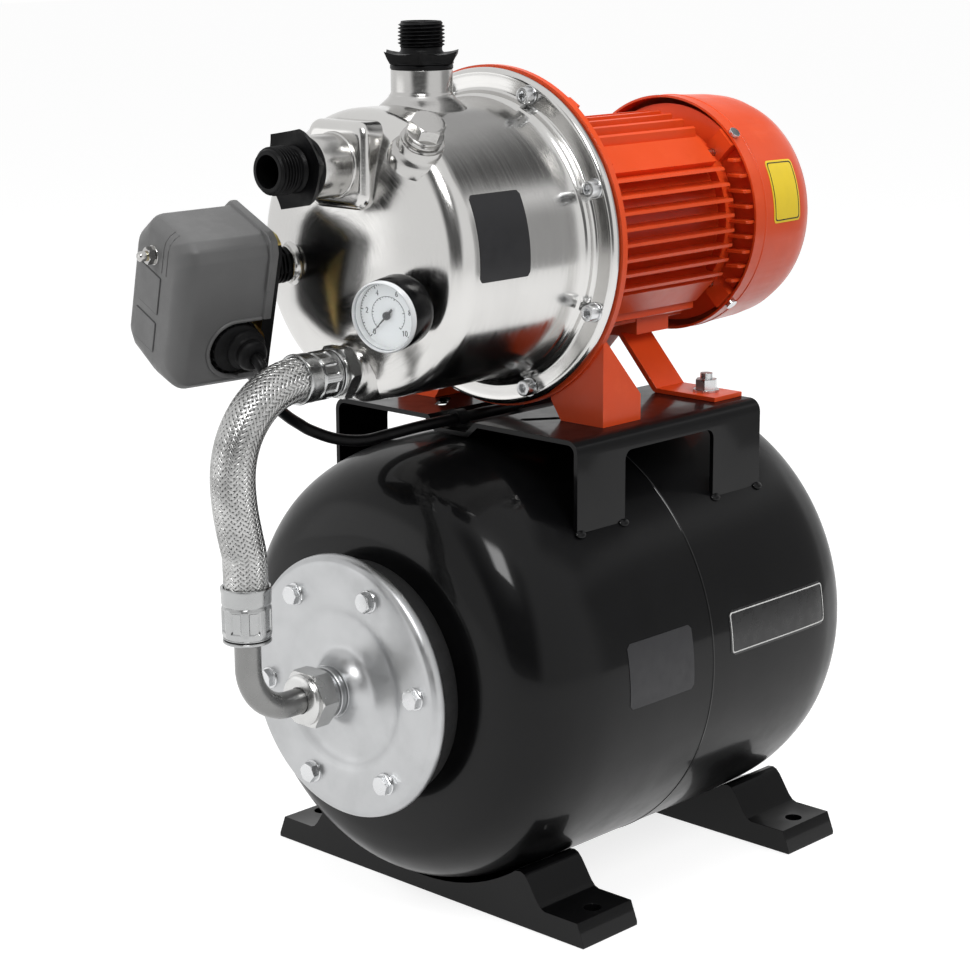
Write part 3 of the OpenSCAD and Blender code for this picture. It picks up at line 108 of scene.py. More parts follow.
def make_camera():
    az, el, roll = radians(43.55), radians(13.26), radians(-0.30)
    back = Vector((math.sin(az) * math.cos(el), -math.cos(az) * math.cos(el), math.sin(el)))
    level = Vector((math.cos(az), math.sin(az), 0))
    upright = back.cross(level)
    right = level * math.cos(roll) + upright * math.sin(roll)
    up = upright * math.cos(roll) - level * math.sin(roll)
    cam = put("camera", bpy.data.cameras.new("camera"))
    m = Matrix((right, up, back)).transposed().to_4x4()
    m.translation = Vector((1.0145, -1.1351, 0.5995))
    cam.matrix_world = m
    cam.data.lens, cam.data.sensor_width = 89.49, 36
    cam.data.clip_start, cam.data.clip_end = 0.01, 50
    bpy.context.scene.camera = cam


def node_tree(name, world=False):
    b = bpy.data.worlds.new(name) if world else bpy.data.materials.new(name)
    b.use_nodes = True
    b.node_tree.nodes.clear()
    return b, b.node_tree


def add(t, kind, inputs=(), **settings):
    """A shader node; inputs are values, or output sockets to link, by position or by name."""
    n = t.nodes.new("ShaderNode" + kind)
    for key, value in settings.items():
        setattr(n, key, value)
    for key, value in inputs.items() if isinstance(inputs, dict) else enumerate(inputs):
        if isinstance(value, bpy.types.NodeSocket):
            t.links.new(value, n.inputs[key])
        else:
            n.inputs[key].default_value = value
    return n


def smoothstep(t, fac, lo, hi, a=0.0, b=1.0):
    """Goes smoothly from a to b as fac goes from lo to hi."""
    limits = {"From Min": lo, "From Max": hi, "To Min": a, "To Max": b}
    return add(t, "MapRange", {"Value": fac, **limits}, interpolation_type="SMOOTHSTEP").outputs[0]


def strength(t, seen, light):
    """One strength where the eye, metal and glass see the surface, another for the light it gives."""
    ray = add(t, "LightPath").outputs
    is_seen = add(t, "Math", (ray["Is Camera Ray"], ray["Is Glossy Ray"]), operation="MAXIMUM").outputs[0]
    is_seen = add(t, "Math", (is_seen, ray["Is Transmission Ray"]), operation="MAXIMUM").outputs[0]
    return add(t, "MapRange", {"Value": is_seen, "To Min": light, "To Max": seen}).outputs[0]


def sheet(name, w, h, material, z=0.0):
    me = bpy.data.meshes.new(name)
    me.from_pydata([(x * w / 2, y * h / 2, z) for x, y in ((-1, -1), (1, -1), (1, 1), (-1, 1))], [], [(0, 1, 2, 3)])
    me.materials.append(material)
    return put(name, me)


def soft_card(name, w, h, brightness):
    """A glowing card that fades out towards its edges."""
    m, t = node_tree(name)
    glow = add(t, "Emission", {"Color": (brightness, brightness, brightness, 1)})
    across = add(t, "Mapping", {0: add(t, "TexCoord").outputs["Object"], "Scale": (2 / w, 2 / h, 1)})
    across = add(t, "VectorMath", [across.outputs[0]], operation="ABSOLUTE")
    x, y, _ = add(t, "SeparateXYZ", [across.outputs[0]]).outputs
    fade = add(t, "Math", [smoothstep(t, c, 0.45, 1.0, 1.0, 0.0) for c in (x, y)], operation="MULTIPLY")
    mix = add(t, "MixShader", (fade.outputs[0], add(t, "BsdfTransparent").outputs[0], glow.outputs[0]))
    add(t, "OutputMaterial", [mix.outputs[0]])
    return m


def make_stage():
    world, t = node_tree("studio", world=True)
    sky = add(t, "Background", {"Color": (1, 1, 1, 1), "Strength": strength(t, WORLD_SEEN, WORLD_LIGHT)})
    add(t, "OutputWorld", [sky.outputs[0]])
    bpy.context.scene.world = world

    m, t = node_tree("floor")
    matt = add(t, "BsdfDiffuse", {"Color": (FLOOR_GREY, FLOOR_GREY, FLOOR_GREY, 1)})
    glow = add(t, "Emission", {"Strength": strength(t, FLOOR_SEEN, 0.0)})
    add(t, "OutputMaterial", [add(t, "AddShader", (matt.outputs[0], glow.outputs[0])).outputs[0]])
    sheet("floor", FLOOR_SIZE, FLOOR_SIZE, m, FLOOR_Z)

    for i, (x, y, z, w, h, target, brightness) in enumerate(CARDS):
        o = sheet(f"flag_{i}", w, h, soft_card(f"card_{i}", w, h, brightness))
        aim(o, (x, y, z), target, "Z")
        o.visible_camera = o.visible_diffuse = o.visible_shadow = o.visible_transmission = False
    for i, (x, y, z, w, h, target, watts) in enumerate(LAMPS):
        lamp = bpy.data.lights.new(f"lamp_{i}", "AREA")
        lamp.shape, lamp.size, lamp.size_y, lamp.energy = "RECTANGLE", w, h, watts
        o = put(f"lamp_{i}", lamp)
        aim(o, (x, y, z), target, "-Z")
        o.visible_glossy = False


# ---- materials ----

def srgb(r, g, b):
    return tuple(c / 12.92 if c <= 0.04045 else ((c + 0.055) / 1.055) ** 2.4 for c in (r / 255, g / 255, b / 255))


class Mat:
    """A Principled material in the shared frame's coordinates, built up by the calls below."""

    def __init__(self, name, colour, rough, metal=0.0, spec=0.5, coat=0.0, coat_rough=0.05, **extra):
        self.m, self.t = node_tree(name)
        self.p = add(self.t, "BsdfPrincipled", {
            "Base Color": (*colour, 1), "Roughness": rough, "Metallic": metal, "Specular IOR Level": spec,
            "Coat Weight": coat, "Coat Roughness": coat_rough, **extra})
        add(self.t, "OutputMaterial", [self.p.outputs[0]])
        self.colour, self.normal = colour, None
        self.place = add(self.t, "TexCoord").outputs["Object"]

    def polar(self, centre, axis, along, turn):
        """(radius, distance along the axis, angle) round an axis through centre, each stretched."""
        off = add(self.t, "VectorMath", {0: self.place, 1: centre}, operation="SUBTRACT")
        xyz = add(self.t, "SeparateXYZ", [off.outputs[0]]).outputs
        ax = "XYZ".index(axis)
        u, v = (xyz[i] for i in range(3) if i != ax)
        flat = add(self.t, "CombineXYZ", (u, v))
        radius = add(self.t, "VectorMath", [flat.outputs[0]], operation="LENGTH").outputs["Value"]
        angle = add(self.t, "Math", (v, u), operation="ARCTAN2").outputs[0]
        parts = [add(self.t, "Math", {0: socket, 1: k}, operation="MULTIPLY").outputs[0]
                 for socket, k in ((radius, along), (xyz[ax], along), (angle, turn))]
        return add(self.t, "CombineXYZ", parts).outputs[0]

    def noise(self, scale, detail, rough=0.55, place=None):
        inputs = {"Scale": scale, "Detail": detail, "Roughness": rough, "Vector": place or self.place}
        return add(self.t, "TexNoise", inputs).outputs["Fac"]

    def tint(self, fac, other):
        """Base colour goes from what it is to other as fac goes from 0 to 1."""
        base = self.p.inputs["Base Color"]
        now = base.links[0].from_socket if base.is_linked else (*self.colour, 1)
        mix = add(self.t, "Mix", {"Factor": fac, "A": now, "B": (*other, 1)}, data_type="RGBA")
        self.t.links.new(mix.outputs["Result"], base)

    def bump(self, height, amount, distance):
        inputs = {"Strength": amount, "Distance": distance, "Height": height}
        if self.normal is not None:
            inputs["Normal"] = self.normal
        self.normal = add(self.t, "Bump", inputs).outputs[0]
        self.t.links.new(self.normal, self.p.inputs["Normal"])


def finish(name, tone, rough, tints, vary, bumps, lines=None, **kw):
    """A finish from noise of several sizes.

    tints: (scale, detail, lo, hi, amount, other), other being a colour or a share of the base colour.
    vary: (scale, detail, least, most) added to the roughness. bumps: (scale, detail, strength, distance).
    lines: (centre, axis, along, turn) of turning marks; a scale of None is that of the marks.
    """
    base = srgb(*tone)
    m = Mat(name, base, rough, **kw)
    marks = lines and m.noise(1.0, 4, 0.7, m.polar(*lines))

    def pattern(scale, detail):
        return marks if scale is None else m.noise(scale, detail)

    for scale, detail, lo, hi, amount, other in tints:
        other = srgb(*other) if isinstance(other, tuple) else tuple(c * other for c in base)
        m.tint(smoothstep(m.t, pattern(scale, detail), lo, hi, 0, amount), other)
    scale, detail, least, most = vary
    rougher = smoothstep(m.t, pattern(scale, detail), 0.3, 0.7, max(rough + least, 0.0), rough + most)
    m.t.links.new(rougher, m.p.inputs["Roughness"])
    for scale, detail, amount, distance in bumps:
        m.bump(pattern(scale, detail), amount, distance)
    return m


def orange(name, grain, amount):
    return finish(name, (226, 78, 32), 0.34, [(9, 3, 0.35, 0.7, 1, 0.88), (70, 3, 0.5, 0.8, 0.5, (230, 88, 42))],
                  (60, 3, -0.05, 0.04), [(grain, 2, amount, 0.0003)], spec=0.25, coat=0.12, coat_rough=0.14)


def black_enamel(name):
    m = finish(name, (9, 9, 10), 0.34, [(14, 4, 0.45, 0.8, 1, (13, 13, 14))], (40, 4, -0.04, 0.06),
               [(150, 2, 0.03, 0.0008)], spec=0.06, coat=0.30, coat_rough=0.08)
    specks = add(m.t, "TexVoronoi", {"Scale": 700, "Vector": m.place}, feature="F1").outputs["Distance"]
    m.tint(smoothstep(m.t, specks, 0.0, 0.03, 0.25, 0.0), srgb(48, 48, 50))
    return m


def black_plastic(name, rough=0.42, grain=2200, tone=(7, 7, 8)):
    return finish(name, tone, rough, [(60, 4, 0.4, 0.75, 1, 1.9)], (200, 3, -0.06, 0.08), [(grain, 2, 0.18, 0.0003)],
                  spec=0.14)


def polished(name, centre=(0, 0, PUMP_Z), axis="Y", rough=0.16, tone=(203, 202, 200)):
    return finish(name, tone, rough, [(25, 4, 0.45, 0.8, 0.6, 0.9)], (None, 0, -0.03, 0.06),
                  [(None, 0, 0.10, 0.00012), (45, 2, 0.05, 0.0005)], (centre, axis, 900, 3), metal=1.0)


def zinc(name, centre=(0, 0, TANK_Z), axis="Y", rough=0.34, tone=(182, 183, 184), marks=0.12):
    return finish(name, tone, rough, [(30, 5, 0.4, 0.75, 0.8, 0.86)], (70, 4, -0.04, 0.08),
                  [(None, 0, marks, 0.00012), (500, 3, 0.03, 0.0002)], (centre, axis, 650, 5), metal=1.0)


def simple(name, tone, rough, metal=0.0, grain=900, dark=0.8, **kw):
    return finish(name, tone, rough, [(80, 4, 0.4, 0.75, 1, dark)], (150, 3, max(-0.06, 0.02 - rough), 0.08),
                  [(grain, 3, 0.10, 0.0003)], metal=metal, **kw)


def make_materials():
    lens = Mat("lens", (0.96, 0.98, 1.0), 0.02, **{"Transmission Weight": 1.0, "IOR": 1.45})
    lens.t.links.new(smoothstep(lens.t, lens.noise(30, 2), 0.3, 0.7, 0.0, 0.03), lens.p.inputs["Roughness"])
    fine, under = [(1500, 3, 0.10, 0.0002)], {"grain": 120, "spec": 0.3}
    made = {
        "orange": orange("orange_enamel", 1500, 0.08), "orange_cast": orange("orange_cast", 700, 0.16),
        "enamel": black_enamel("black_enamel"), "plastic": black_plastic("black_plastic"),
        "gloss": black_plastic("black_gloss", 0.16, 1200), "box": black_plastic("box_plastic", 0.5, 1500, (16, 16, 17)),
        "cable": black_plastic("cable_jacket", 0.36, 1200, (9, 9, 10)),
        "rubber": finish("rubber", (9, 9, 10), 0.45, [(90, 3, 0.4, 0.8, 1, 2.0)], (160, 3, -0.03, 0.15),
                         [(1800, 2, 0.15, 0.0003)], spec=0.16, **{"Sheen Weight": 0.02}),
        "casing": polished("casing_steel"),
        "tube_out": polished("tube_steel", (0, OUTLET_Y, 0), "Z", 0.20, (188, 187, 185)),
        "tube_in": polished("inlet_steel", (0, 0, INLET_Z), "Y", 0.20, (188, 187, 185)),
        "plug": polished("plug_steel", (0.06, -0.17, 0.48), "Z", 0.18, (180, 179, 177)),
        "flange": zinc("flange_zinc"), "bolt": zinc("bolt_zinc", (0, 0, 0), "Y", 0.24, (206, 207, 208), 0.06),
        "fitting": zinc("fitting_zinc", (0, -0.2, TANK_Z), "Y", 0.20, (200, 200, 199), 0.08),
        "ferrule": zinc("ferrule_steel", (0, HOSE_Y, 0), "Z", 0.24, (170, 171, 171), 0.05),
        "ferrule_y": zinc("ferrule_steel_y", (0, 0, PORT_Z), "Y", 0.22, (184, 185, 185), 0.05),
        "elbow": zinc("elbow_steel", (0, HOSE_Y, 0), "Z", 0.26, (132, 132, 131), 0.05),
        "wire": finish("braid_wire", (186, 186, 185), 0.26, [(60, 3, 0.4, 0.7, 1, (160, 160, 159))],
                       (120, 3, 0.0, 0.10), [(1400, 2, 0.05, 0.0001)], metal=1.0),
        "brass": finish("brass", (196, 160, 92), 0.28, [(120, 4, 0.45, 0.75, 1, (150, 116, 60))],
                        (200, 3, -0.06, 0.14), fine, metal=1.0),
        "gold": finish("base_chromate", (186, 158, 96), 0.34,
                       [(70, 4, 0.4, 0.7, 1, (150, 150, 96)), (180, 4, 0.5, 0.8, 1, (176, 120, 88))],
                       (200, 3, -0.06, 0.11), fine, metal=0.9),
        "grey": finish("grey_plastic", (97, 97, 97), 0.42, [(18, 4, 0.4, 0.75, 1, 0.9)], (120, 3, -0.04, 0.08),
                       [(2400, 2, 0.20, 0.0003), (120, 2, 0.05, 0.0005)], spec=0.45),
        "rim": simple("clear_rim", (226, 228, 230), 0.10, spec=0.6, dark=0.97),
        # the dark grey for the strokes round the switch cover's pads is painted shade of the grooves round them
        "neck": simple("neck_black", (10, 10, 11), 0.75), "seam": simple("painted_groove_shade", (44, 44, 45), 0.5),
        "inner": simple("inner_plastic", (42, 42, 44), 0.45), "carbon": simple("carbon", (40, 41, 43), 0.35),
        "iron": simple("electrical_steel", (120, 121, 124), 0.4, 1.0),
        "ceramic": simple("ceramic", (226, 222, 210), 0.25),
        "shaft": simple("ground_steel", (190, 190, 192), 0.2, 1.0, 1500),
        "copper": simple("copper_wire", (186, 92, 44), 0.3, 1.0, 1200),
        "can": simple("capacitor_can", (196, 197, 199), 0.3, 1.0), "ink": simple("dial_ink", (22, 22, 24), 0.5),
        "white": simple("dial_white", (250, 250, 248), 0.45, dark=0.98), "lens": lens,
        "label_dark": simple("label_dark", (36, 36, 38), 0.38, dark=0.93, **under),
        "label_dark2": simple("label_dark_gloss", (50, 50, 52), 0.4, dark=0.9, **under),
        "label_black": simple("label_black", (17, 17, 18), 0.3, dark=0.9),
        "label_white": simple("label_white", (226, 226, 224), 0.4, dark=0.95),
        "label_yellow": simple("label_yellow", (236, 205, 42), 0.35, dark=0.95),
    }
    return {key: m.m for key, m in made.items()}


# ---- geometry helpers: a part is (vertices, faces) ----

def clean(me, *edits):
    """Runs the given bmesh edits on a mesh, such as welding its doubles and turning its faces outward."""
    bm = bmesh.new()
    bm.from_mesh(me)
    for edit in edits:
        edit(bm)
    bm.to_mesh(me)
    bm.free()


def weld(dist):
    return lambda bm: bmesh.ops.remove_doubles(bm, verts=bm.verts, dist=dist)


def face_out(bm):
    bmesh.ops.recalc_face_normals(bm, faces=bm.faces)


def drop_slivers(bm):
    bmesh.ops.dissolve_degenerate(bm, edges=bm.edges, dist=1e-7)


def merge_flat(bm):
    bmesh.ops.dissolve_limit(bm, angle_limit=radians(0.6), verts=bm.verts, edges=bm.edges)


def smooth_by_angle(degrees):
    """Smooth faces, with every edge over the given angle sharp."""
    def edit(bm):
        for f in bm.faces:
            f.smooth = True
        for e in bm.edges:
            e.smooth = len(e.link_faces) == 2 and e.calc_face_angle(pi) < radians(degrees)
    return edit


def mesh_of(name, part, m=None):
    me = bpy.data.meshes.new(name)
    me.from_pydata([tuple(v) for v in part[0]], [], part[1])
    if m is not None:
        me.transform(m)
    return me


def piece(name, part, mat, node, angle=35, m=None, bevel=None, slot=None):
    """A visible piece that stands for its CAD node, on the node's body; the slot argument is not used."""
    return finish_piece(name, mesh_of(name, part, m), mat, node, angle, bevel)


def finish_piece(name, me, mat, node, angle=35, bevel=None):
    clean(me, weld(1e-6), drop_slivers, face_out)
    me.materials.clear()
    me.materials.append(MATS[mat])
    clean(me, smooth_by_angle(angle))
    o = put(name, me)
    if bevel:
        b = o.modifiers.new("edge", "BEVEL")
        b.width, b.segments, b.limit_method, b.angle_limit = bevel, 2, "ANGLE", radians(angle)
        b.harden_normals = True
    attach(o, frame["nodes"][node]["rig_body"])
    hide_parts(node)
    return o


def recast(node, mat, angle=30, bevel=None):
    """A CAD node's own shape with rounded edges and even shading."""
    me = frame["nodes"][node].data.copy()
    me.name = node + "_finished"
    clean(me, weld(2e-6), merge_flat)
    if "custom_normal" in me.attributes:
        me.attributes.remove(me.attributes["custom_normal"])
    return finish_piece(me.name, me, mat, node, angle, bevel)


def plain(node, mat):
    """A hidden or inner CAD node keeps its mesh and takes a better material."""
    me = frame["nodes"][node].data
    me.materials.clear()
    me.materials.append(MATS[mat])


def grid(rows, caps=False):
    """A sheet through rings of points, each ring closed on itself; caps fill the first and the last."""
    n, verts, faces = len(rows[0]), [p for r in rows for p in r], []
    for j in range(len(rows) - 1):
        for i in range(n):
            k = (i + 1) % n
            faces.append((j * n + i, j * n + k, (j + 1) * n + k, (j + 1) * n + i))
    if caps:
        faces.append(tuple(range(n))[::-1])
        faces.append(tuple((len(rows) - 1) * n + i for i in range(n)))
    return verts, faces


def join(*parts):
    verts, faces = [], []
    for v, f in parts:
        b = len(verts)
        verts += [Vector(p) for p in v]
        faces += [tuple(i + b for i in q) for q in f]
    return verts, faces


def moved(part, m):
    return [m @ Vector(p) for p in part[0]], part[1]


def scaled(rows):
    """Rows in mm as rows in metres."""
    return [[(x * MM, y * MM, z * MM) for x, y, z in row] for row in rows]


def around(seg, point):
    """A ring round +Z; point(angle) gives (radius, height) there."""
    row = []
    for i in range(seg):
        a = tau * i / seg
        r, z = point(a)
        row.append((r * math.cos(a), r * math.sin(a), z))
    return row


def ring(r, z, seg):
    return around(seg, lambda a: (r, z))


def lathe(seg, *profile):
    """A body round +Z from (radius, height) in mm; the profile ends on the axis or where it starts."""
    return grid([ring(max(r * MM, ON_AXIS * MM), h * MM, seg) for r, h in profile])


def sleeve(seg, *profile):
    """A body with a bore: a lathe whose profile is closed here."""
    return lathe(seg, *profile, profile[0])


def smooth_curve(pts, n=6, sharp=()):
    """Catmull-Rom through 2-D or 3-D points, n steps each; points whose index is in sharp keep their corner."""
    pts = [Vector((*p, 0)) if len(p) == 2 else Vector(p) for p in pts]
    out = []
    for i in range(len(pts) - 1):
        p0 = pts[i - 1] if i > 0 and i not in sharp else pts[i] * 2 - pts[i + 1]
        p1, p2 = pts[i], pts[i + 1]
        p3 = pts[i + 2] if i + 2 < len(pts) and i + 1 not in sharp else p2 * 2 - p1
        for k in range(n):
            t = k / n
            out.append(0.5 * ((2 * p1) + (p2 - p0) * t + (2 * p0 - 5 * p1 + 4 * p2 - p3) * t * t
                              + (3 * p1 - p0 - 3 * p2 + p3) * t ** 3))
    return out + [pts[-1]]


def curve_profile(pts, sharp):
    return [(p.x, p.y) for p in smooth_curve(pts, 5, sharp)]


def hexagon(a):
    """Distance to a hexagon's side in direction a, for corners at a distance of 1."""
    return math.cos(pi / 6) / math.cos((a % (pi / 3)) - pi / 6)


def hexer(r_corner, z0, z1, cham0=0.0, cham1=0.0, slope=0.55, seg=96, bore=0.0, dome=0.0):
    """Hexagonal collar in mm whose corners are turned down by a cone at either end."""
    def outline(z):
        turned = min([r_corner - c + run / slope for c, run in ((cham0, z - z0), (cham1, z1 - z)) if c] + [1e9])
        return around(seg, lambda a: (min(r_corner * hexagon(a), turned), z))

    steps, inner = 14, max(bore, ON_AXIS)
    rows = [ring(inner, z0, seg)]
    rows += [outline(z0 + (z1 - z0) * (0.5 - 0.5 * math.cos(pi * k / steps))) for k in range(steps + 1)]
    if dome:
        rows += [ring((r_corner - cham1) * k, z1 + dome * (1 - k * k), seg) for k in (0.85, 0.6, 0.3)]
    rows.append(ring(inner, z1 + dome, seg))
    return grid(scaled(rows + rows[:1] if bore else rows))


def wing_hex(r_low, r_top, z0, z1, rise, bore, seg=144):
    """Moulded hexagon in mm that flares upward, with a dished top and raised corners."""
    flat = math.cos(pi / 6)

    def outline(t, grow):
        def point(a):
            r = (r_low + (r_top - r_low) * grow) * hexagon(a)
            cone = r_low * 0.965 + (r_top - r_low * 0.965) * t ** 0.8
            corner = (hexagon(a) - flat) / (1 - flat)
            return min(r, cone), z0 + (z1 - z0) * t + rise * corner * t ** 3
        return around(seg, point)

    rows = [ring(bore, z0, seg)]
    rows += [outline(*p) for p in ((0, 0.0), (0.06, 0.03), (0.5, 0.45), (0.94, 0.96), (1.0, 1.0))]
    dished = ((0.80 * r_top, 0.08), (0.66 * r_top, 0.16), (bore, 0.16))
    rows += [ring(r, z1 - dish * (z1 - z0), seg) for r, dish in dished]
    return grid(scaled(rows + rows[:1]))


def thread(r_crest, r_root, z0, z1, pitch, seg=96, taper=0.0, bore=0.0, tip=0.9):
    """Male thread in mm from z0 to z1 with a chamfered tip, closed on the axis or on a bore."""
    per_turn, run_in, run_out = 10, 0.8 * pitch, 0.9 * pitch

    def outline(z):
        slim = taper * (z - z0) / (z1 - z0)
        ease = max(0.0, min(1.0, (z - z0) / run_in) * min(1.0, (z1 - z) / run_out))

        def point(a):
            saw = 1 - abs(2 * ((z / pitch - a / tau) % 1.0) - 1)
            return r_root - slim + (r_crest - r_root) * min(1.0, max(0.0, (saw - 0.12) / 0.70)) * ease, z
        return around(seg, point)

    steps = int((z1 - z0) / pitch * per_turn)
    inner, r_end = bore or ON_AXIS, r_root - taper
    rows = [ring(inner, z0, seg)] + [outline(z0 + (z1 - z0) * j / steps) for j in range(steps + 1)]
    rows += [ring(r, z1 + k * tip, seg) for r, k in ((r_end - tip * 0.3, 0.5), (r_end - tip, 0.6), (inner, 0.6))]
    return grid(scaled(rows + rows[:1] if bore else rows))


def rot(deg, axis):
    return Matrix.Rotation(radians(deg), 4, axis)


def shift(x, y, z):
    return Matrix.Translation((x, y, z))


OUT = Matrix(((1, 0, 0, 0), (0, 0, -1, 0), (0, 1, 0, 0), (0, 0, 0, 1)))      # +Z becomes -Y
BACK = Matrix(((1, 0, 0, 0), (0, 0, 1, 0), (0, -1, 0, 0), (0, 0, 0, 1)))     # +Z becomes +Y
SIDE = rot(90, "Y")                                                          # +Z becomes +X
DOME = shift(0, DOME_BACK * MM, PUMP_Z)                                      # centre of the casing's domed face
SWITCH = DOME @ rot(-9, "Y") @ rot(-12.0, "Z") @ shift(0, -DOME_R * MM, 0) @ rot(28, "Y")
GAUGE = DOME @ rot(22.5, "Y") @ rot(14.40, "Z") @ shift(0, -DOME_R * MM, 0) @ rot(-22.5, "Y")
PLUG = shift(0, -0.154, PUMP_Z) @ rot(37, "Y") @ rot(12, "X") @ shift(0, 0, 0.081)
TANK = shift(0, 0, TANK_Z)
PUMP = shift(0, 0, PUMP_Z)
INLET = shift(0, 0, INLET_Z) @ OUT
OUTLET = shift(0, OUTLET_Y, PUMP_Z)
PORT = shift(0, 0, PORT_Z) @ OUT


def cut(part, cutters):
    """The part with closed cutters taken away."""
    made = []
    for i, p in enumerate([part, *cutters]):
        me = mesh_of(f"cut_{i}", p)
        clean(me, weld(1e-6), face_out)
        made.append(put(f"cut_{i}", me))
    whole = made[0]
    for o in made[1:]:
        md = whole.modifiers.new("cut", "BOOLEAN")
        md.operation, md.object, md.solver = "DIFFERENCE", o, "EXACT"
    bpy.context.view_layer.update()
    me = bpy.data.meshes.new_from_object(whole.evaluated_get(bpy.context.evaluated_depsgraph_get()))
    for o in made:
        bpy.data.objects.remove(o)
    return [v.co.copy() for v in me.vertices], [tuple(p.vertices) for p in me.polygons]


def box_part(x0, y0, z0, x1, y1, z1):
    v = [(x, y, z) for x in (x0, x1) for y in (y0, y1) for z in (z0, z1)]
    return v, [(0, 1, 3, 2), (4, 6, 7, 5), (0, 4, 5, 1), (2, 3, 7, 6), (0, 2, 6, 4), (1, 5, 7, 3)]


def round_rect(hw, hh, r, n=10):
    """Points round a rectangle with rounded corners, the same number for any size."""
    out = []
    for k, (sx, sy) in enumerate(((1, 1), (-1, 1), (-1, -1), (1, -1))):
        for i in range(n + 1):
            a = (k + i / n) * pi / 2
            out.append((sx * (hw - r) + r * math.cos(a), sy * (hh - r) + r * math.sin(a)))
    return out


def loft(sections):
    """A closed body round +Z in mm from sections of (height, half width, half depth, corner radius[, x, y])."""
    rows = []
    for h, hw, hh, r, *at in sections:
        x, y = at or (0, 0)
        rows.append([(px + x, py + y, h) for px, py in round_rect(hw, hh, r)])
    return grid(scaled(rows), True)


def tube_along(pts, r, n=16):
    """Round tube through points, turned as little as possible on the way."""
    pts = [Vector(p) for p in pts]
    rows, side = [], Vector((1, 0, 0))
    for i, p in enumerate(pts):
        t = (pts[min(i + 1, len(pts) - 1)] - pts[max(i - 1, 0)]).normalized()
        if abs(side.dot(t)) > 0.98:
            side = Vector((0, 0, 1))
        side = (side - side.dot(t) * t).normalized()
        b = t.cross(side)
        rows.append([p + r * (math.cos(tau * k / n) * side + math.sin(tau * k / n) * b) for k in range(n)])
    return grid(rows, True)


def arc(cx, cy, r, a0, a1, n=8):
    return [(cx + r * math.cos(radians(a0 + (a1 - a0) * i / n)), cy + r * math.sin(radians(a0 + (a1 - a0) * i / n)))
            for i in range(n + 1)]


def rod(r, h, seg=72):
    return lathe(seg, (0, 0), (r, 0), (r, h), (0, h))


# ---- pump casing ----

def dome_h(r):
    """Height in front of the pump's Y = 0 of the casing's domed face."""
    return math.sqrt(DOME_R ** 2 - r * r) - DOME_BACK


def casing(tail, part, m, mat="tube_in", angle=40):
    piece("casing_" + tail, part, mat, "pump_casing", angle, m)


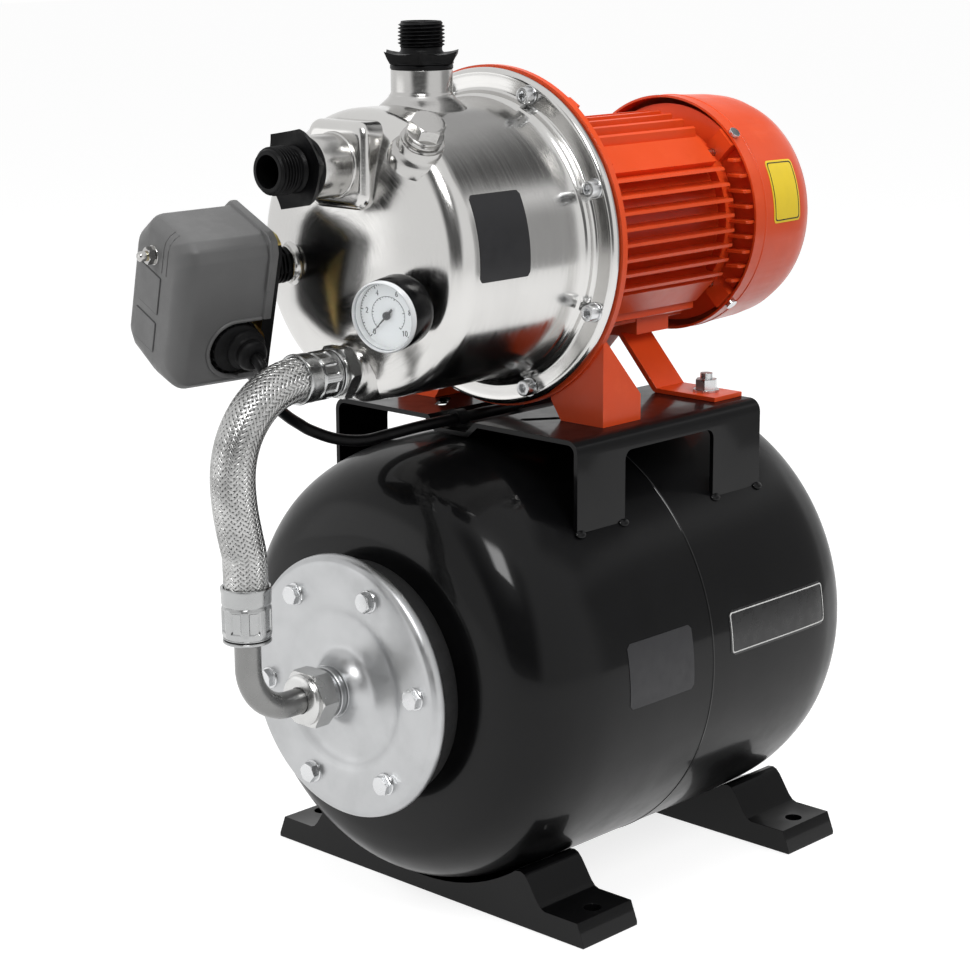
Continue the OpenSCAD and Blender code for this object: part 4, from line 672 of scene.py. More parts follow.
def make_casing():
    rim = [(78, 59.6), (102.2, 59.6), (102.9, 60.2), (103.2, 61.3), (103.1, 62.8), (102.6, 64.2), (101.8, 65.3),
           (100.8, 65.9), (99.8, 66.0), (99.0, 65.8), (98.2, 65.7)]
    band = [(91.6, 65.7), (90.8, 65.8), (90.1, 66.2), (89.5, 66.9), (89.0, 68.0), (88.6, 69.6), (88.2, 71.0),
            (87.6, 71.9), (86.9, 72.4), (86.3, 73.4), (85.8, 75.2), (85.4, 77.6), (85.1, 80.5), (85.0, 84)]
    wall = [(BARREL_R, 84 + i * 9.8) for i in range(1, 9)]
    corner = arc(70, 162.5, 15, 0, 74, 14)
    face = [(r, dome_h(r)) for r in (72, 68, 62, 54, 45, 36, 27, 18, 9, 0) if r < corner[-1][0] - 1.5]
    shell = lathe(240, *rim, *band, *wall, *corner, *face, (0, 150), (78, 150), (78, 59.6))
    shell = cut(shell, [moved(rod(16.6, 60), shift(0, 0.054, 0.140)),
                        moved(rod(16.6, 60), shift(0, 0.050, 0.120) @ rot(-90, "X"))])
    casing("shell", shell, PUMP @ OUT, "casing", 50)

    # inlet bulge on the front, pressed out of the face, with a round fillet and its tube
    secs = [(150, 26, 28, 12, 0, -3), (174, 25.6, 27, 11, 0, -2), (180, 24.8, 26, 10.4, 0, -1)]
    for a in range(0, 91, 10):
        out, rise = 5.9 * math.cos(radians(a)), 5.9 * math.sin(radians(a))
        secs.append((185.6 + rise, 18.6 + out, 19.4 + out, 9.6 - 3.6 * a / 90))
    casing("inlet_bulge", cut(loft(secs), [moved(rod(16.7, 80), shift(0, 0, 0.140))]), INLET, "casing")
    casing("inlet_tube", sleeve(96, (16.6, 180), (18.6, 180), (19.0, 191.4), (19.2, 192.2), (18.9, 193.0),
                                (18.3, 193.4), (18.3, 205), (18.3, 213.6), (18.1, 214.2), (17.6, 214.4), (17.0, 214.2),
                                (16.6, 213.6)), INLET)

    # outlet saddle and tube on top of the barrel
    secs = [(60, 29, 27, 20), (74, 28.6, 26.6, 20), (79, 27.0, 25.4, 19), (82.5, 24.6, 23.6, 18),
            (85.2, 22.2, 21.8, 18), (87.2, 20.4, 20.2, 17.8), (88.6, 19.4, 19.2, 17.6), (90, 18.8, 18.8, 17.8)]
    casing("outlet_saddle", cut(loft(secs), [moved(rod(16.7, 80), shift(0, 0, 0.050))]), OUTLET, "tube_out", 50)
    casing("outlet_tube", sleeve(96, (16.6, 70), (18.6, 70), (18.9, 89.3), (18.9, 90.2), (18.6, 91.0), (18.3, 91.6),
                                 (18.3, 92.4), (18.3, 104), (18.1, 104.6), (17.6, 104.8), (17.0, 104.6), (16.6, 104)),
           OUTLET, "tube_out")

    # bosses for the hose, the gauge and the switch, and the collar of the priming plug
    casing("hose_stub", lathe(72, (0, 150), (21, 150), (20.4, 172), (19.2, 175.5), (17.4, 178.2), (15.9, 180.0),
                              (15.1, 182.0), (14.9, 185.4), (14.4, 186.0), (13.4, 186.2), (13.0, 186.2), (13.0, 191),
                              (0, 191)), PORT)
    for tail, m, r, top in (("gauge_boss", GAUGE, 9, 3), ("switch_boss", SWITCH, 11, 4)):
        casing(tail, lathe(64, (0, -10), (r + 3.2, -10), (r + 2.6, -0.9), (r + 1.4, 0.1), (r + 0.4, 1.2), (r, 2.2),
                           (r, top - 0.4), (r - 0.4, top), (0, top)), m @ OUT)
    casing("plug_collar", sleeve(72, (9.1, -8), (16.4, -8), (16.0, -1.5), (15.0, 0.2), (13.8, 1.4), (13.2, 3.0),
                                 (13.0, 7.3), (12.6, 8.0), (9.6, 8.0), (9.1, 7.5)), PLUG, "plug")


def adapter(node, m):
    bore = 9.5
    body = sleeve(72, (bore, -14), (16.3, -14), (16.3, -0.2), (18.3, 0.1), (18.6, 0.6), (18.6, 2.2), (18.2, 2.8),
                  (18.9, 3.2), (18.9, 4), (bore, 4))
    hexa = wing_hex(21.0, 24.6, 3.2, 8.8, 1.9, bore)
    neck = sleeve(72, (bore, 9), (13.6, 9), (13.2, 9.8), (12.6, 10.2), (12.2, 11.2), (12.2, 13.2), (bore, 13.2))
    male = thread(13.9, 12.3, 12.6, 27.2, 2.12, 96, 0.2, bore, 1.0)
    for tail, part, angle in (("body", body, 40), ("hex", hexa, 28), ("neck", neck, 40), ("thread", male, 60)):
        piece(f"{node}_{tail}", part, "plastic", node, angle, m)


def make_ports():
    adapter("inlet_adapter", shift(0, INLET_MOUTH_Y, INLET_Z) @ OUT @ rot(10, "Z"))
    adapter("outlet_adapter", shift(0, OUTLET_Y, OUTLET_MOUTH_Z) @ rot(12, "Z"))
    head = hexer(10.6, 14.2, 22.6, 0.5, 1.5, 0.6, 120, 0, 0.7)
    washer = lathe(96, (0, 8.0), (12.2, 8.0), (12.6, 8.4), (12.6, 9.4), (12.2, 9.8), (10.6, 10.0), (10.4, 10.6),
                   (10.4, 11.2), (10.9, 11.4), (10.9, 12.4), (10.4, 12.6), (10.4, 13.4), (11.1, 13.8), (11.1, 14.4),
                   (10.6, 14.7), (0, 14.7))
    shank = sleeve(48, (6, -2), (8.9, -2), (8.9, 8.1), (6, 8.1))
    for tail, part, angle in (("head", head, 28), ("ring", washer, 35), ("shank", shank, 35)):
        piece("priming_plug_" + tail, part, "plug", "priming_plug", angle, PLUG)


def socket_bolt(r_head, h, washer, sink, socket=2.55, seg=40):
    """Socket head on its washer, +Z out of the flange, its seat at height 0."""
    w = lathe(seg, (0, 0.02), (washer - 0.2, 0.02), (washer, 0.25), (washer, 0.85), (washer - 0.25, 1.1), (0, 1.1))
    head = ((ON_AXIS, 1.0), (r_head, 1.0), (r_head, h - 0.7), (r_head - 0.25, h - 0.2), (r_head - 0.8, h), (3.15, h),
            (2.95, h - 0.3))
    rows = [ring(r, z, seg) for r, z in head]
    rows += [around(seg, lambda a: (socket / math.cos(pi / 6) * hexagon(a), z)) for z in (h - 0.35, h - sink)]
    return join(w, grid(scaled(rows + [ring(ON_AXIS, h - sink - 0.4, seg)])))


def bolt_circle(bolt, seat, r, turns):
    """A bolt at each angle round a face that looks to -Y, screwed in to a turn of its own."""
    return join(*[moved(bolt, seat @ rot(at, "Y") @ shift(r, 0, 0) @ OUT @ rot(own, "Z")) for at, own in turns])


def make_casing_bolts():
    bolt = join(socket_bolt(4.9, 7.1, 5.9, 3.4), lathe(20, (0, -16), (3.1, -16), (3.1, 0.5), (0, 0.5)),
                lathe(20, (0, -16.4), (2.2, -16.4), (2.9, -15.6), (2.9, -14), (0, -14)))
    bolts = bolt_circle(bolt, shift(0, FLANGE_Y, PUMP_Z), 0.0955, [(22.5 + 45 * i, 17 * i) for i in range(8)])
    piece("casing_bolt_set", bolts, "bolt", "casing_bolts", 30)


# ---- tank ----

def make_tank():
    front = curve_profile([(140, 12.5), (140, 40), (140, 68.5), (139.1, 104.5), (136.6, 124.5), (132, 140.5),
                           (125, 152.5), (115, 161.5), (104, 166), (92, 168.3), (80, 169.5), (60, 170.3)], (1,))
    seam = [(140.0, 11.2), (140.35, 11.7), (140.35, 12.6), (140.0, 13.0)]
    body = lathe(220, *seam, *[p for p in front if p[1] > 13.2], (58, 160), (130, 80), (138, 11.2), (140.0, 11.2))
    piece("tank_front_sheet", body, "enamel", "tank_front_shell", 40, TANK @ OUT)
    neck = sleeve(128, (50, 165), (72.6, 165), (73.6, 168.6), (74.2, 170.0), (74.4, 172.0), (74.4, 183.4), (74.0, 184),
                  (50, 184))
    piece("tank_neck_ring", neck, "neck", "tank_front_shell", 40, TANK @ OUT)
    rear = curve_profile([(140, -12.9), (140, 20), (140, 62.5), (139, 98.5), (136.4, 114.5), (131.5, 128.5),
                          (123, 140.5), (112, 148.5), (95, 155), (70, 159.5), (40, 162.1), (14, 163), (6, 163)],
                         (1, 11))
    body = sleeve(220, (138.4, -12.5), (140.0, -12.5), (140.0, -11.0), *[p for p in rear if p[1] > -10.5], (6, 161.5),
                  (120, 138), (138.4, 60))
    piece("tank_rear_sheet", body, "enamel", "tank_rear_shell", 40, TANK @ BACK)


def make_tank_flange():
    back, face, mid, port = 186.5, 195.0, 191.0, 206.0
    outer = curve_profile([(78, back), (80.6, back + 0.6), (81.0, back + 2.4), (80.4, face - 3.2), (78.6, face - 1.2),
                          (75.6, face), (66, face + 0.25), (58, face), (52.6, face - 0.5), (49, face - 1.6),
                          (45.6, mid + 1.0), (42, mid + 0.2), (34, mid), (26.5, mid + 0.1), (22.4, mid + 1.4),
                          (19.4, mid + 4.2), (17.4, mid + 7.6), (16.5, mid + 10.4), (16.5, port - 3.2)], (0,))
    disc = lathe(180, *outer, (16.2, port - 2.6), (14.7, port - 2.5), (14.6, port - 1.2),
                 (15.4, port - 0.9), (15.8, port - 0.3), (15.8, port + 1.4), (15.4, port + 1.9), (14, port + 2.1),
                 (14, port + 9), (10, port + 9), (10, back), (78, back))
    piece("tank_flange_disc", disc, "flange", "tank_flange", 34, TANK @ OUT)
    bolt = join(hexer(6.3, 0.7, 5.2, 0.4, 0.95, 0.5, 72, 0, 0.25),
                lathe(48, (0, -0.2), (6.9, -0.2), (7.0, 0.4), (6.6, 0.9), (5.4, 1.1), (0, 1.1)))
    seat = shift(0, -face * MM - 0.0002, TANK_Z)
    bolts = bolt_circle(bolt, seat, 0.064, [(-6.5 - 60 * i, 11 + 23 * i) for i in range(6)])
    piece("tank_flange_bolt_set", bolts, "bolt", "tank_flange_bolts", 28)


# ---- hose and lead ----

HOSE = [(0, y, z) for y, z in (
    (-0.212, 0.342), (-0.219, 0.342), (-0.226, 0.342), (-0.234, 0.341), (-0.243, 0.3382), (-0.2515, 0.3337),
    (-0.259, 0.3275), (-0.2653, 0.3198), (-0.270, 0.311), (-0.273, 0.301), (-0.274, 0.291), (-0.2735, 0.280),
    (-0.272, 0.269), (-0.2695, 0.257), (-0.2672, 0.247), (-0.2667, 0.238), (-0.2665, 0.230), (-0.2665, 0.225),
    (-0.2665, 0.220))]
LEAD = [(-35.2, -229.1, 54.6), (-30.1, -230.1, 52.7), (-27.3, -230.7, 51.8), (-23.8, -231, 49.6), (-21.2, -230.4, 45.2),
        (-20.6, -228.6, 39.5), (-21.5, -225.5, 33), (-24, -220.5, 26), (-27.5, -213.5, 19.5), (-31, -203, 12.5),
        (-32, -194, 7), (-31, -186, 2), (-27, -170, -5), (-21, -153, -8), (-15, -136, -6), (-9, -119, -3.5),
        (-6.5, -104, -2.6), (-6, -92, -2.5), (-6, -85, -2.5), (-6, -78, -2.5), (-6, -60, -2.5), (-6, -42, -2.5),
        (-8, -28, -1.5), (-14, -17, 2), (-23, -10, 6), (-37, -5, 8), (-51, -1, 10), (-64, 4, 14), (-75, 9, 23),
        (-83, 12.5, 36), (-88, 14, 51), (-89, 14, 63), (-89, 14, 70), (-89, 14, 76)]


def even(pts, n):
    """A smooth curve through the points, cut into n even steps: (point, tangent, distance run) each."""
    fine = smooth_curve(pts, 24)
    run = [0.0]
    for a, b in zip(fine, fine[1:]):
        run.append(run[-1] + (b - a).length)
    out, j = [], 0
    for i in range(n + 1):
        s = run[-1] * i / n
        while j < len(run) - 2 and run[j + 1] < s:
            j += 1
        t = (s - run[j]) / max(run[j + 1] - run[j], 1e-9)
        out.append((fine[j].lerp(fine[j + 1], t), (fine[j + 1] - fine[j]).normalized(), s))
    return out


def make_hose():
    core = tube_along([p for p, _, _ in even(HOSE, 60)], HOSE_D / 2, 48)
    o = piece("hose_core", core, "rubber", "pressure_hose", 60)
    # braid: flat bundles of wires, two over and two under, each wound round the core at the same lead
    carriers, lead, steps, r_mid, r_low, half = 24, 0.078, 240, 0.0128, 0.01245, 0.00098
    lift_by, wire_h = 0.00036, 0.00019
    line = even(HOSE, steps)
    slant = math.atan2(tau * r_mid, lead)
    section = [(-1.0, -1.5), (-0.8, 0.1), (-0.42, 0.75), (-0.2, 0.55), (0.0, 1.0), (0.2, 0.55), (0.42, 0.75),
               (0.8, 0.1), (1.0, -1.5), (0.9, -2.6), (-0.9, -2.6)]
    ribbons, side = [], Vector((1, 0, 0))
    for way in (1, -1):
        for c in range(carriers):
            rows = []
            for p, t, s in line:
                up = t.cross(side)
                crossing = 2 * s / lead * carriers
                q = 2 * c + crossing - 0.5 if way > 0 else 2 * c - crossing - 2.5
                lift = 0.5 + 0.5 * math.tanh(3.0 * math.cos(q * pi / 2))
                a = tau * (c / carriers + way * s / lead)
                row = []
                for w, h in section:
                    turn = a + w * half * math.cos(slant) / r_mid
                    along = -way * w * half * math.sin(slant)
                    r = r_low + lift_by * lift + wire_h * h
                    row.append(p + t * along + (side * math.cos(turn) + up * math.sin(turn)) * r)
                rows.append(row)
            ribbons.append(grid(rows, True))
    braid = piece("hose_braid", join(*ribbons), "wire", "pressure_hose", 75)


def make_lead():
    pts = [p for p, _, _ in even([(x * MM, y * MM, PLATE_Z + z * MM) for x, y, z in LEAD], 150)]
    o = piece("motor_lead_cable", tube_along(pts, LEAD_D / 2, 20), "cable", "motor_lead", 60)


def ferrule(name, mat, m, top, inner):
    """Crimped sleeve in mm round +Z: eight pressed faces at the bottom, a plain collar over the braid at the top."""
    collar = sleeve(80, (inner, top - 11), (13.7, top - 11), (14.2, top - 10.2), (14.5, top - 9.2), (14.55, top - 4),
                    (14.7, top - 2.6), (15.0, top - 1.4), (14.8, top - 0.4), (14.3, top), (13.3, top - 0.2),
                    (13.1, top - 1.0), (13.1, top - 6))
    faces, seg, flat_r, base_r = 8, 160, 13.75, 13.6
    zs = [0, 0.5, 1.2, 2.0, 2.6, 3.2, 3.8, 4.4] + [4.4 + (top - 18.2) * k / 6 for k in range(1, 7)]
    zs += [top - 13.2, top - 12.6, top - 12.0, top - 11.4, top - 10.8]
    lo, hi = 3.4, top - 13.0

    def outline(z):
        ends = min(1.0, max(0.0, (z - 0.2) / 1.4)) * min(1.0, max(0.0, (top - 10.9 - z) / 1.2))

        def point(a):
            off = (a % (tau / faces)) - pi / faces
            r = base_r + (min(flat_r / math.cos(off), 14.35) - base_r) * ends
            u = abs(off) * flat_r
            if lo + 0.4 < z < hi - 0.4 and u < 3.1:
                r -= 0.55 * max(0.0, min(1.0, (z - lo - 0.4) / 0.5, (hi - 0.4 - z) / 0.5, (3.1 - u) / 0.5))
            elif lo - 0.9 < z < hi + 0.9 and u < 4.3:
                r += 0.18
            return r, z
        return around(seg, point)

    first = ring(inner, 0, seg)
    crimp = grid(scaled([first] + [outline(z) for z in zs] + [ring(inner, top - 10.8, seg), first]))
    foot = sleeve(80, (inner, -3.2), (13.6, -3.2), (14.1, -2.8), (14.2, -2.0), (13.9, -1.4), (13.2, -1.2), (13.2, -0.6),
                  (13.8, -0.4), (13.9, 0.1), (inner, 0.1))
    piece(name, join(collar, crimp, foot), mat, "hose_ferrules", 30, m)
    seal = sleeve(64, (12.6, -1.3), (13.55, -1.3), (13.7, -0.9), (13.55, -0.5), (12.6, -0.5))
    piece(name + "_seal", seal, "rubber", "hose_ferrules", 30, m, slot="steel_braid")


def make_hose_ends():
    ferrule("ferrule_upper", "ferrule_y", shift(0, -0.1995, PORT_Z) @ OUT, 26.0, 7.1)
    ferrule("ferrule_lower", "ferrule", shift(0, HOSE_Y, TANK_Z + 0.0485), 30.0, 7.9)
    nut = join(hexer(17.0, 187.6, 195.4, 1.2, 1.2, 0.55, 120, 7.1),
               sleeve(64, (7.1, 195), (13.2, 195), (13.2, 196.6), (7.1, 196.6)))
    piece("hose_nut_upper", nut, "fitting", "hose_nuts", 28, PORT)
    piece("casing_stub_thread", thread(15.0, 13.6, 182.2, 188.2, 1.6, 96, 0.0, 7.1, 0.2), "fitting", "pump_casing", 60,
          PORT)
    nut = join(hexer(18.6, 212.0, 224.6, 1.5, 1.2, 0.55, 120, 8.2),
               sleeve(72, (8.2, 224), (15.6, 224), (15.4, 226.2), (14.6, 227.4), (13.2, 228), (8.2, 228)))
    piece("union_nut", nut, "fitting", "hose_nuts", 28, TANK @ OUT)
    bend_r = 0.03
    bend = [(0, y, TANK_Z + bend_r - z) for y, z in arc(HOSE_Y + bend_r, 0, bend_r, 90, 180, 15)]
    elbow = tube_along([(0, -0.2170, TANK_Z), *bend, (0, HOSE_Y, TANK_Z + 0.068)], 0.0078, 48)
    piece("hose_elbow_tube", elbow, "elbow", "hose_elbow", 60)


# ---- pressure switch ----

def hull_line(inset, du, r=4.6, n=128):
    """Outline of the switch cover pulled in and moved sideways, as even turns of its normal."""
    w, h = 30.5 - inset - r, 46.5 - inset - r
    pts = [(-w, -h + 7), (-w + 4, -h + 3.5), (w - 15, -h), (w - 2, -h + 0.8), (w, -h + 3), (w, h - 6), (w - 2, h - 2),
           (w - 6, h), (-w + 9, h), (-w, h - 10.5)]
    out = []
    for i in range(n):
        a = tau * (i + 0.5) / n
        nx, ny = math.cos(a), math.sin(a)
        x, y = max(pts, key=lambda p: p[0] * nx + p[1] * ny)
        out.append((x + r * nx - 0.5 + du, y + r * ny - 13.5))
    return out


def with_normals(pts):
    """Each 2-D point followed by the unit normal to the line's left there."""
    for i, (x, y) in enumerate(pts):
        (ax, ay), (bx, by) = pts[max(i - 1, 0)], pts[min(i + 1, len(pts) - 1)]
        ln = math.hypot(bx - ax, by - ay) or 1
        yield x, y, -(by - ay) / ln, (bx - ax) / ln


def flat_stroke(pts, w, z, thick=0.12):
    """A flat line in mm of width w through 2-D points, its top at height z."""
    rows = []
    for x, y, nx, ny in with_normals(pts):
        sides = [(x + k * nx * w / 2, y + k * ny * w / 2) for k in (1, -1)]
        rows.append([(*p, z) for p in sides] + [(*p, z - thick) for p in sides[::-1]])
    return grid(scaled(rows), True)


def cover_shell():
    """The switch cover in mm: (depth, inset, sideways) up the inside and down the outside, with the ways in cut out."""
    inner = [(85.6, 9.6, -3.6), (84.9, 8.0, -3.1), (83, 6.2, -2.0), (80, 4.0, -1.0), (76, 2.4, 0), (60, 2.4, 0),
             (36, 2.4, 0), (29.4, 2.2, 0)]
    outer = [(29.0, 1.2, 0), (29.0, -1.4, 0), (29.4, -2.0, 0), (30.6, -2.2, 0), (32.8, -2.1, 0), (33.8, -1.7, 0),
             (34.3, -0.9, 0), (34.6, -0.2, 0), (35.2, 0, 0), (50, 0, 0), (64, 0, 0), (77.4, 0, 0), (79.6, 0.25, -0.1),
             (81.6, 0.8, -0.5), (83.4, 1.8, -1.1), (85.0, 3.1, -1.8), (86.3, 4.7, -2.6), (87.3, 6.6, -3.2),
             (87.85, 8.4, -3.6), (88.0, 10.0, -3.8)]
    shell = grid(scaled([[(u, v, d) for u, v in hull_line(o, du)] for d, o, du in inner + outer]), True)
    arch = moved(rod(17.5, 60), shift(-0.0005, -0.034, 0.050) @ SIDE)
    arch_foot = box_part(-0.0005, -0.0515, 0.0, 0.0600, -0.0165, 0.050)
    left = moved(rod(9.6, 60, 48), shift(-0.0005, -0.0075, 0.040) @ rot(-90, "Y"))
    left_foot = box_part(-0.0600, -0.0171, 0.0, -0.0005, 0.0021, 0.0400)
    return cut(shell, [arch, arch_foot, left_foot, left])


def cover_band(u0, u1, thick):
    """Strip in mm beside the nut, folded over the cover's top edge."""
    line, sink, rows = [(88.0, 7.0), (88.0, 22.5), (87.3, 26.4), (85.0, 30.0), (81.6, 32.2)], 0.6, []
    for d, v, nd, nv in with_normals(line):
        low, high = (v + sink * nv, d + sink * nd), (v - thick * nv, d - thick * nd)
        rows.append([(u0, *low), (u0, *high), (u1, *high), (u1, *low)])
    return grid(scaled(rows), True)


def make_switch():
    frame_m, grey = SWITCH @ OUT, ("grey", "switch_cover")
    pads, lines = [], []
    for u0, u1, v0, v1 in ((-20.5, 3.7, -20, 3), (-21, 3, -44.5, -26)):
        def outline(grow, r):
            return [((u0 + u1) / 2 + x, (v0 + v1) / 2 + y)
                    for x, y in round_rect((u1 - u0) / 2 + grow, (v1 - v0) / 2 + grow, r, 4)]
        # a dark stroke round each pad: painted shade standing in for the groove's shadow round the pad
        edge = outline(0.15, 0.9)
        lines.append(flat_stroke(edge + edge[:2], 0.75, 88.12))
        steps = ((87.2, 0.2), (88.35, 0.0), (88.62, 0.28))
        pads.append(grid(scaled([[(x, y, d) for x, y in outline(-e, 0.8)] for d, e in steps]), True))
    pads += [cover_band(-14.5, 4.6, 0.55), cover_band(4.6, 9.4, 0.3)]
    piece("switch_cover_shell", cover_shell(), *grey, 30, frame_m, 0.0003)
    piece("switch_cover_panels", join(*pads), *grey, 28, frame_m, 0.0002)
    piece("switch_cover_groove_shade", join(*lines), "seam", "switch_cover", 28, frame_m)
    lip = [(30.2, -16.4, 34.5), (30.2, -16.4, 42)]
    lip += [(30.2, v, d) for v, d in arc(-34, 50, 17.6, 0, 180, 20)] + [(30.2, -52.6, 46.5)]
    step = [(31.6, 2, 33.8), (31.6, 14, 33.8), (31.3, 24, 33.8), (29.6, 30.4, 33.8), (25.5, 33.6, 33.8),
            (18, 34.2, 33.8)]
    piece("switch_cover_arch", tube_along(scaled([lip])[0], 0.00125, 12), *grey, 50, frame_m)
    piece("switch_cover_rim_step", tube_along(scaled([step])[0], 0.0011, 10), *grey, 50, frame_m)
    nut = join(hexer(5.2, 88.7, 93.2, 0.3, 0.6, 0.55, 72),
               lathe(40, (0, 92.9), (3.0, 92.9), (3.0, 96.4), (2.8, 97.4), (2.3, 98.1), (1.3, 98.5), (0, 98.55)),
               lathe(48, (0, 88.1), (5.7, 88.1), (5.9, 88.3), (5.7, 88.8), (0, 88.8)))
    piece("switch_nut", nut, "plug", "switch_cover_nut", 28, frame_m @ shift(-0.0069, 0.0132, 0))


def make_glands():
    # big gland nut, ribbed, and the boot out of it; the nut sits a little off the boot and fills the cover's arch
    bore = 3.6
    boot = sleeve(72, (bore, 4), (12.6, 4), (12.6, 9.0), (12.0, 10.2), (10.6, 11.0), (9.4, 11.6), (8.8, 12.6),
                  (8.6, 13.6), (8.9, 14.6), (9.4, 15.4), (9.4, 16.6), (9.0, 17.8), (7.8, 18.8), (6.0, 19.7),
                  (4.6, 20.2), (bore, 20.2))
    nut_m = shift(-0.0052, 0.0008, 0)
    collar = sleeve(96, (bore, -1), (16.6, -1), (16.8, 0), (16.8, 2.4), (16.4, 2.9), (15.4, 3.1), (15.4, 6.6),
                    (14.9, 7.6), (13.6, 8.2), (11.4, 8.6), (bore, 8.8))
    rib = loft([(2.6, 0.7, 0.7, 0.3), (6.8, 0.7, 0.7, 0.3), (7.6, 0.4, 0.4, 0.15)])
    ribs = [moved(rib, nut_m @ rot(20 * i, "Z") @ shift(0.0155, 0, 0)) for i in range(18)]
    piece("switch_gland", join(boot, moved(collar, nut_m), *ribs), "rubber", "cable_glands", 32,
          SWITCH @ OUT @ shift(0.0225, -0.0352, 0.043) @ SIDE)
    small = join(sleeve(56, (bore, 0), (8.0, 0), (8.2, 1.2), (8.2, 2.4), (7.6, 3.4), (6.6, 4.6), (6.2, 6.4), (6.0, 9.6),
                        (5.0, 10.8), (3.7, 11.2)),
                 hexer(10.4, -3.0, 2.4, 0.8, 0.8, 0.55, 72, bore))
    for y in (14, 44):
        piece(f"box_gland_{y}", small, "plastic", "cable_glands", 30,
              shift(-0.089, y * MM, PUMP_Z - 0.0325) @ rot(180, "X"))


def make_nipple():
    """The nipple under the switch, with its hex and its grooves."""
    nipple = [hexer(10.5, 4.2, 19.8, 1.0, 1.0, 0.5, 72), lathe(36, (0, -5), (6.4, -5), (6.4, 4.5), (0, 4.5)),
              lathe(36, (0, 19.5), (6.4, 19.5), (6.4, 27.5), (0, 27.5))]
    for h in (6 + 2.6 * k for k in range(5)):
        nipple.append(sleeve(48, (9, h), (10.9, h + 0.3), (10.9, h + 1.4), (9, h + 1.7)))
    piece("switch_nipple_body", join(*nipple), "plastic", "switch_nipple", 30, SWITCH @ OUT)


def make_range_spring():
    """A coil spring with closed ends, in the sleeve of space that its CAD node takes up."""
    pts = [v.co for v in frame["nodes"]["range_spring"].data.vertices]
    out = (SWITCH.to_3x3() @ Vector((0, -1, 0))).normalized()
    across = out.cross(Vector((0, 0, 1))).normalized()
    up = across.cross(out)

    def span(d):
        along = [p.dot(d) for p in pts]
        return min(along), max(along)

    near, far = span(out)
    centre = across * (sum(span(across)) / 2) + up * (sum(span(up)) / 2)
    wire, mean_r, turns, end_turns, per_turn = 0.0009, 0.0050, 8.0, 1.0, 30
    pitch = (far - near - 2 * wire - 4 * wire * end_turns) / (turns - 2 * end_turns)
    path = []
    for k in range(int(turns * per_turn) + 1):
        t = k / per_turn
        h = near + wire + 2 * wire * (min(t, end_turns) + max(0.0, t - turns + end_turns))
        h += pitch * max(0.0, min(t, turns - end_turns) - end_turns)
        path.append(centre + out * h + across * mean_r * math.cos(t * tau) + up * mean_r * math.sin(t * tau))
    o = piece("range_spring_coil", tube_along(path, wire * 0.97, 12), "shaft", "range_spring", 50)
    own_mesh(o)


# ---- gauge ----

DIGITS = {
    "0": [[(0.1, 0.2), (0.1, 0.8), (0.3, 1), (0.5, 0.8), (0.5, 0.2), (0.3, 0), (0.1, 0.2)]],
    "1": [[(0.15, 0.8), (0.33, 1), (0.33, 0)]],
    "2": [[(0.08, 0.78), (0.28, 1), (0.5, 0.8), (0.46, 0.55), (0.08, 0), (0.52, 0)]],
    "4": [[(0.42, 0), (0.42, 1), (0.05, 0.3), (0.56, 0.3)]],
    "6": [[(0.48, 0.95), (0.2, 0.75), (0.08, 0.35), (0.2, 0), (0.42, 0.03), (0.5, 0.28), (0.36, 0.52), (0.12, 0.42)]],
    "8": [[(0.3, 0.52), (0.12, 0.75), (0.3, 1), (0.48, 0.75), (0.3, 0.52), (0.08, 0.25), (0.3, 0), (0.52, 0.25),
           (0.3, 0.52)]],
}
DIAL_START, DIAL_SWEEP = 225, 270


def dial_marks(z=25.72):
    """Two scales of ticks, their lines, and the digits, in mm."""
    def at(r, share):
        a = radians(DIAL_START - DIAL_SWEEP * share)
        return r * math.cos(a), r * math.sin(a)

    marks = []
    for i in range(51):
        ticks = [(16.3 if i % 10 == 0 else 16.7 if i % 5 == 0 else 17.2, 18.0)]
        if i % 2 == 0:
            ticks.append((9.4 if i % 10 == 0 else 9.9, 10.6))
        marks += [flat_stroke([at(r0, i / 50), at(r1, i / 50)], 0.46 if i % 5 == 0 else 0.26, z) for r0, r1 in ticks]
    marks += [flat_stroke([at(r, i / 60) for i in range(61)], 0.24, z) for r in (18.0, 10.6)]
    high, advance = 3.0, 0.62
    for i, label in enumerate(("0", "2", "4", "6", "8", "10")):
        x, y = at(13.9, i / 5)
        x -= len(label) * advance * high / 2
        for k, digit in enumerate(label):
            marks += [flat_stroke([(x + (k * advance + u) * high, y + (v - 0.5) * high) for u, v in stroke], 0.48, z)
                      for stroke in DIGITS[digit]]
    return join(*marks)


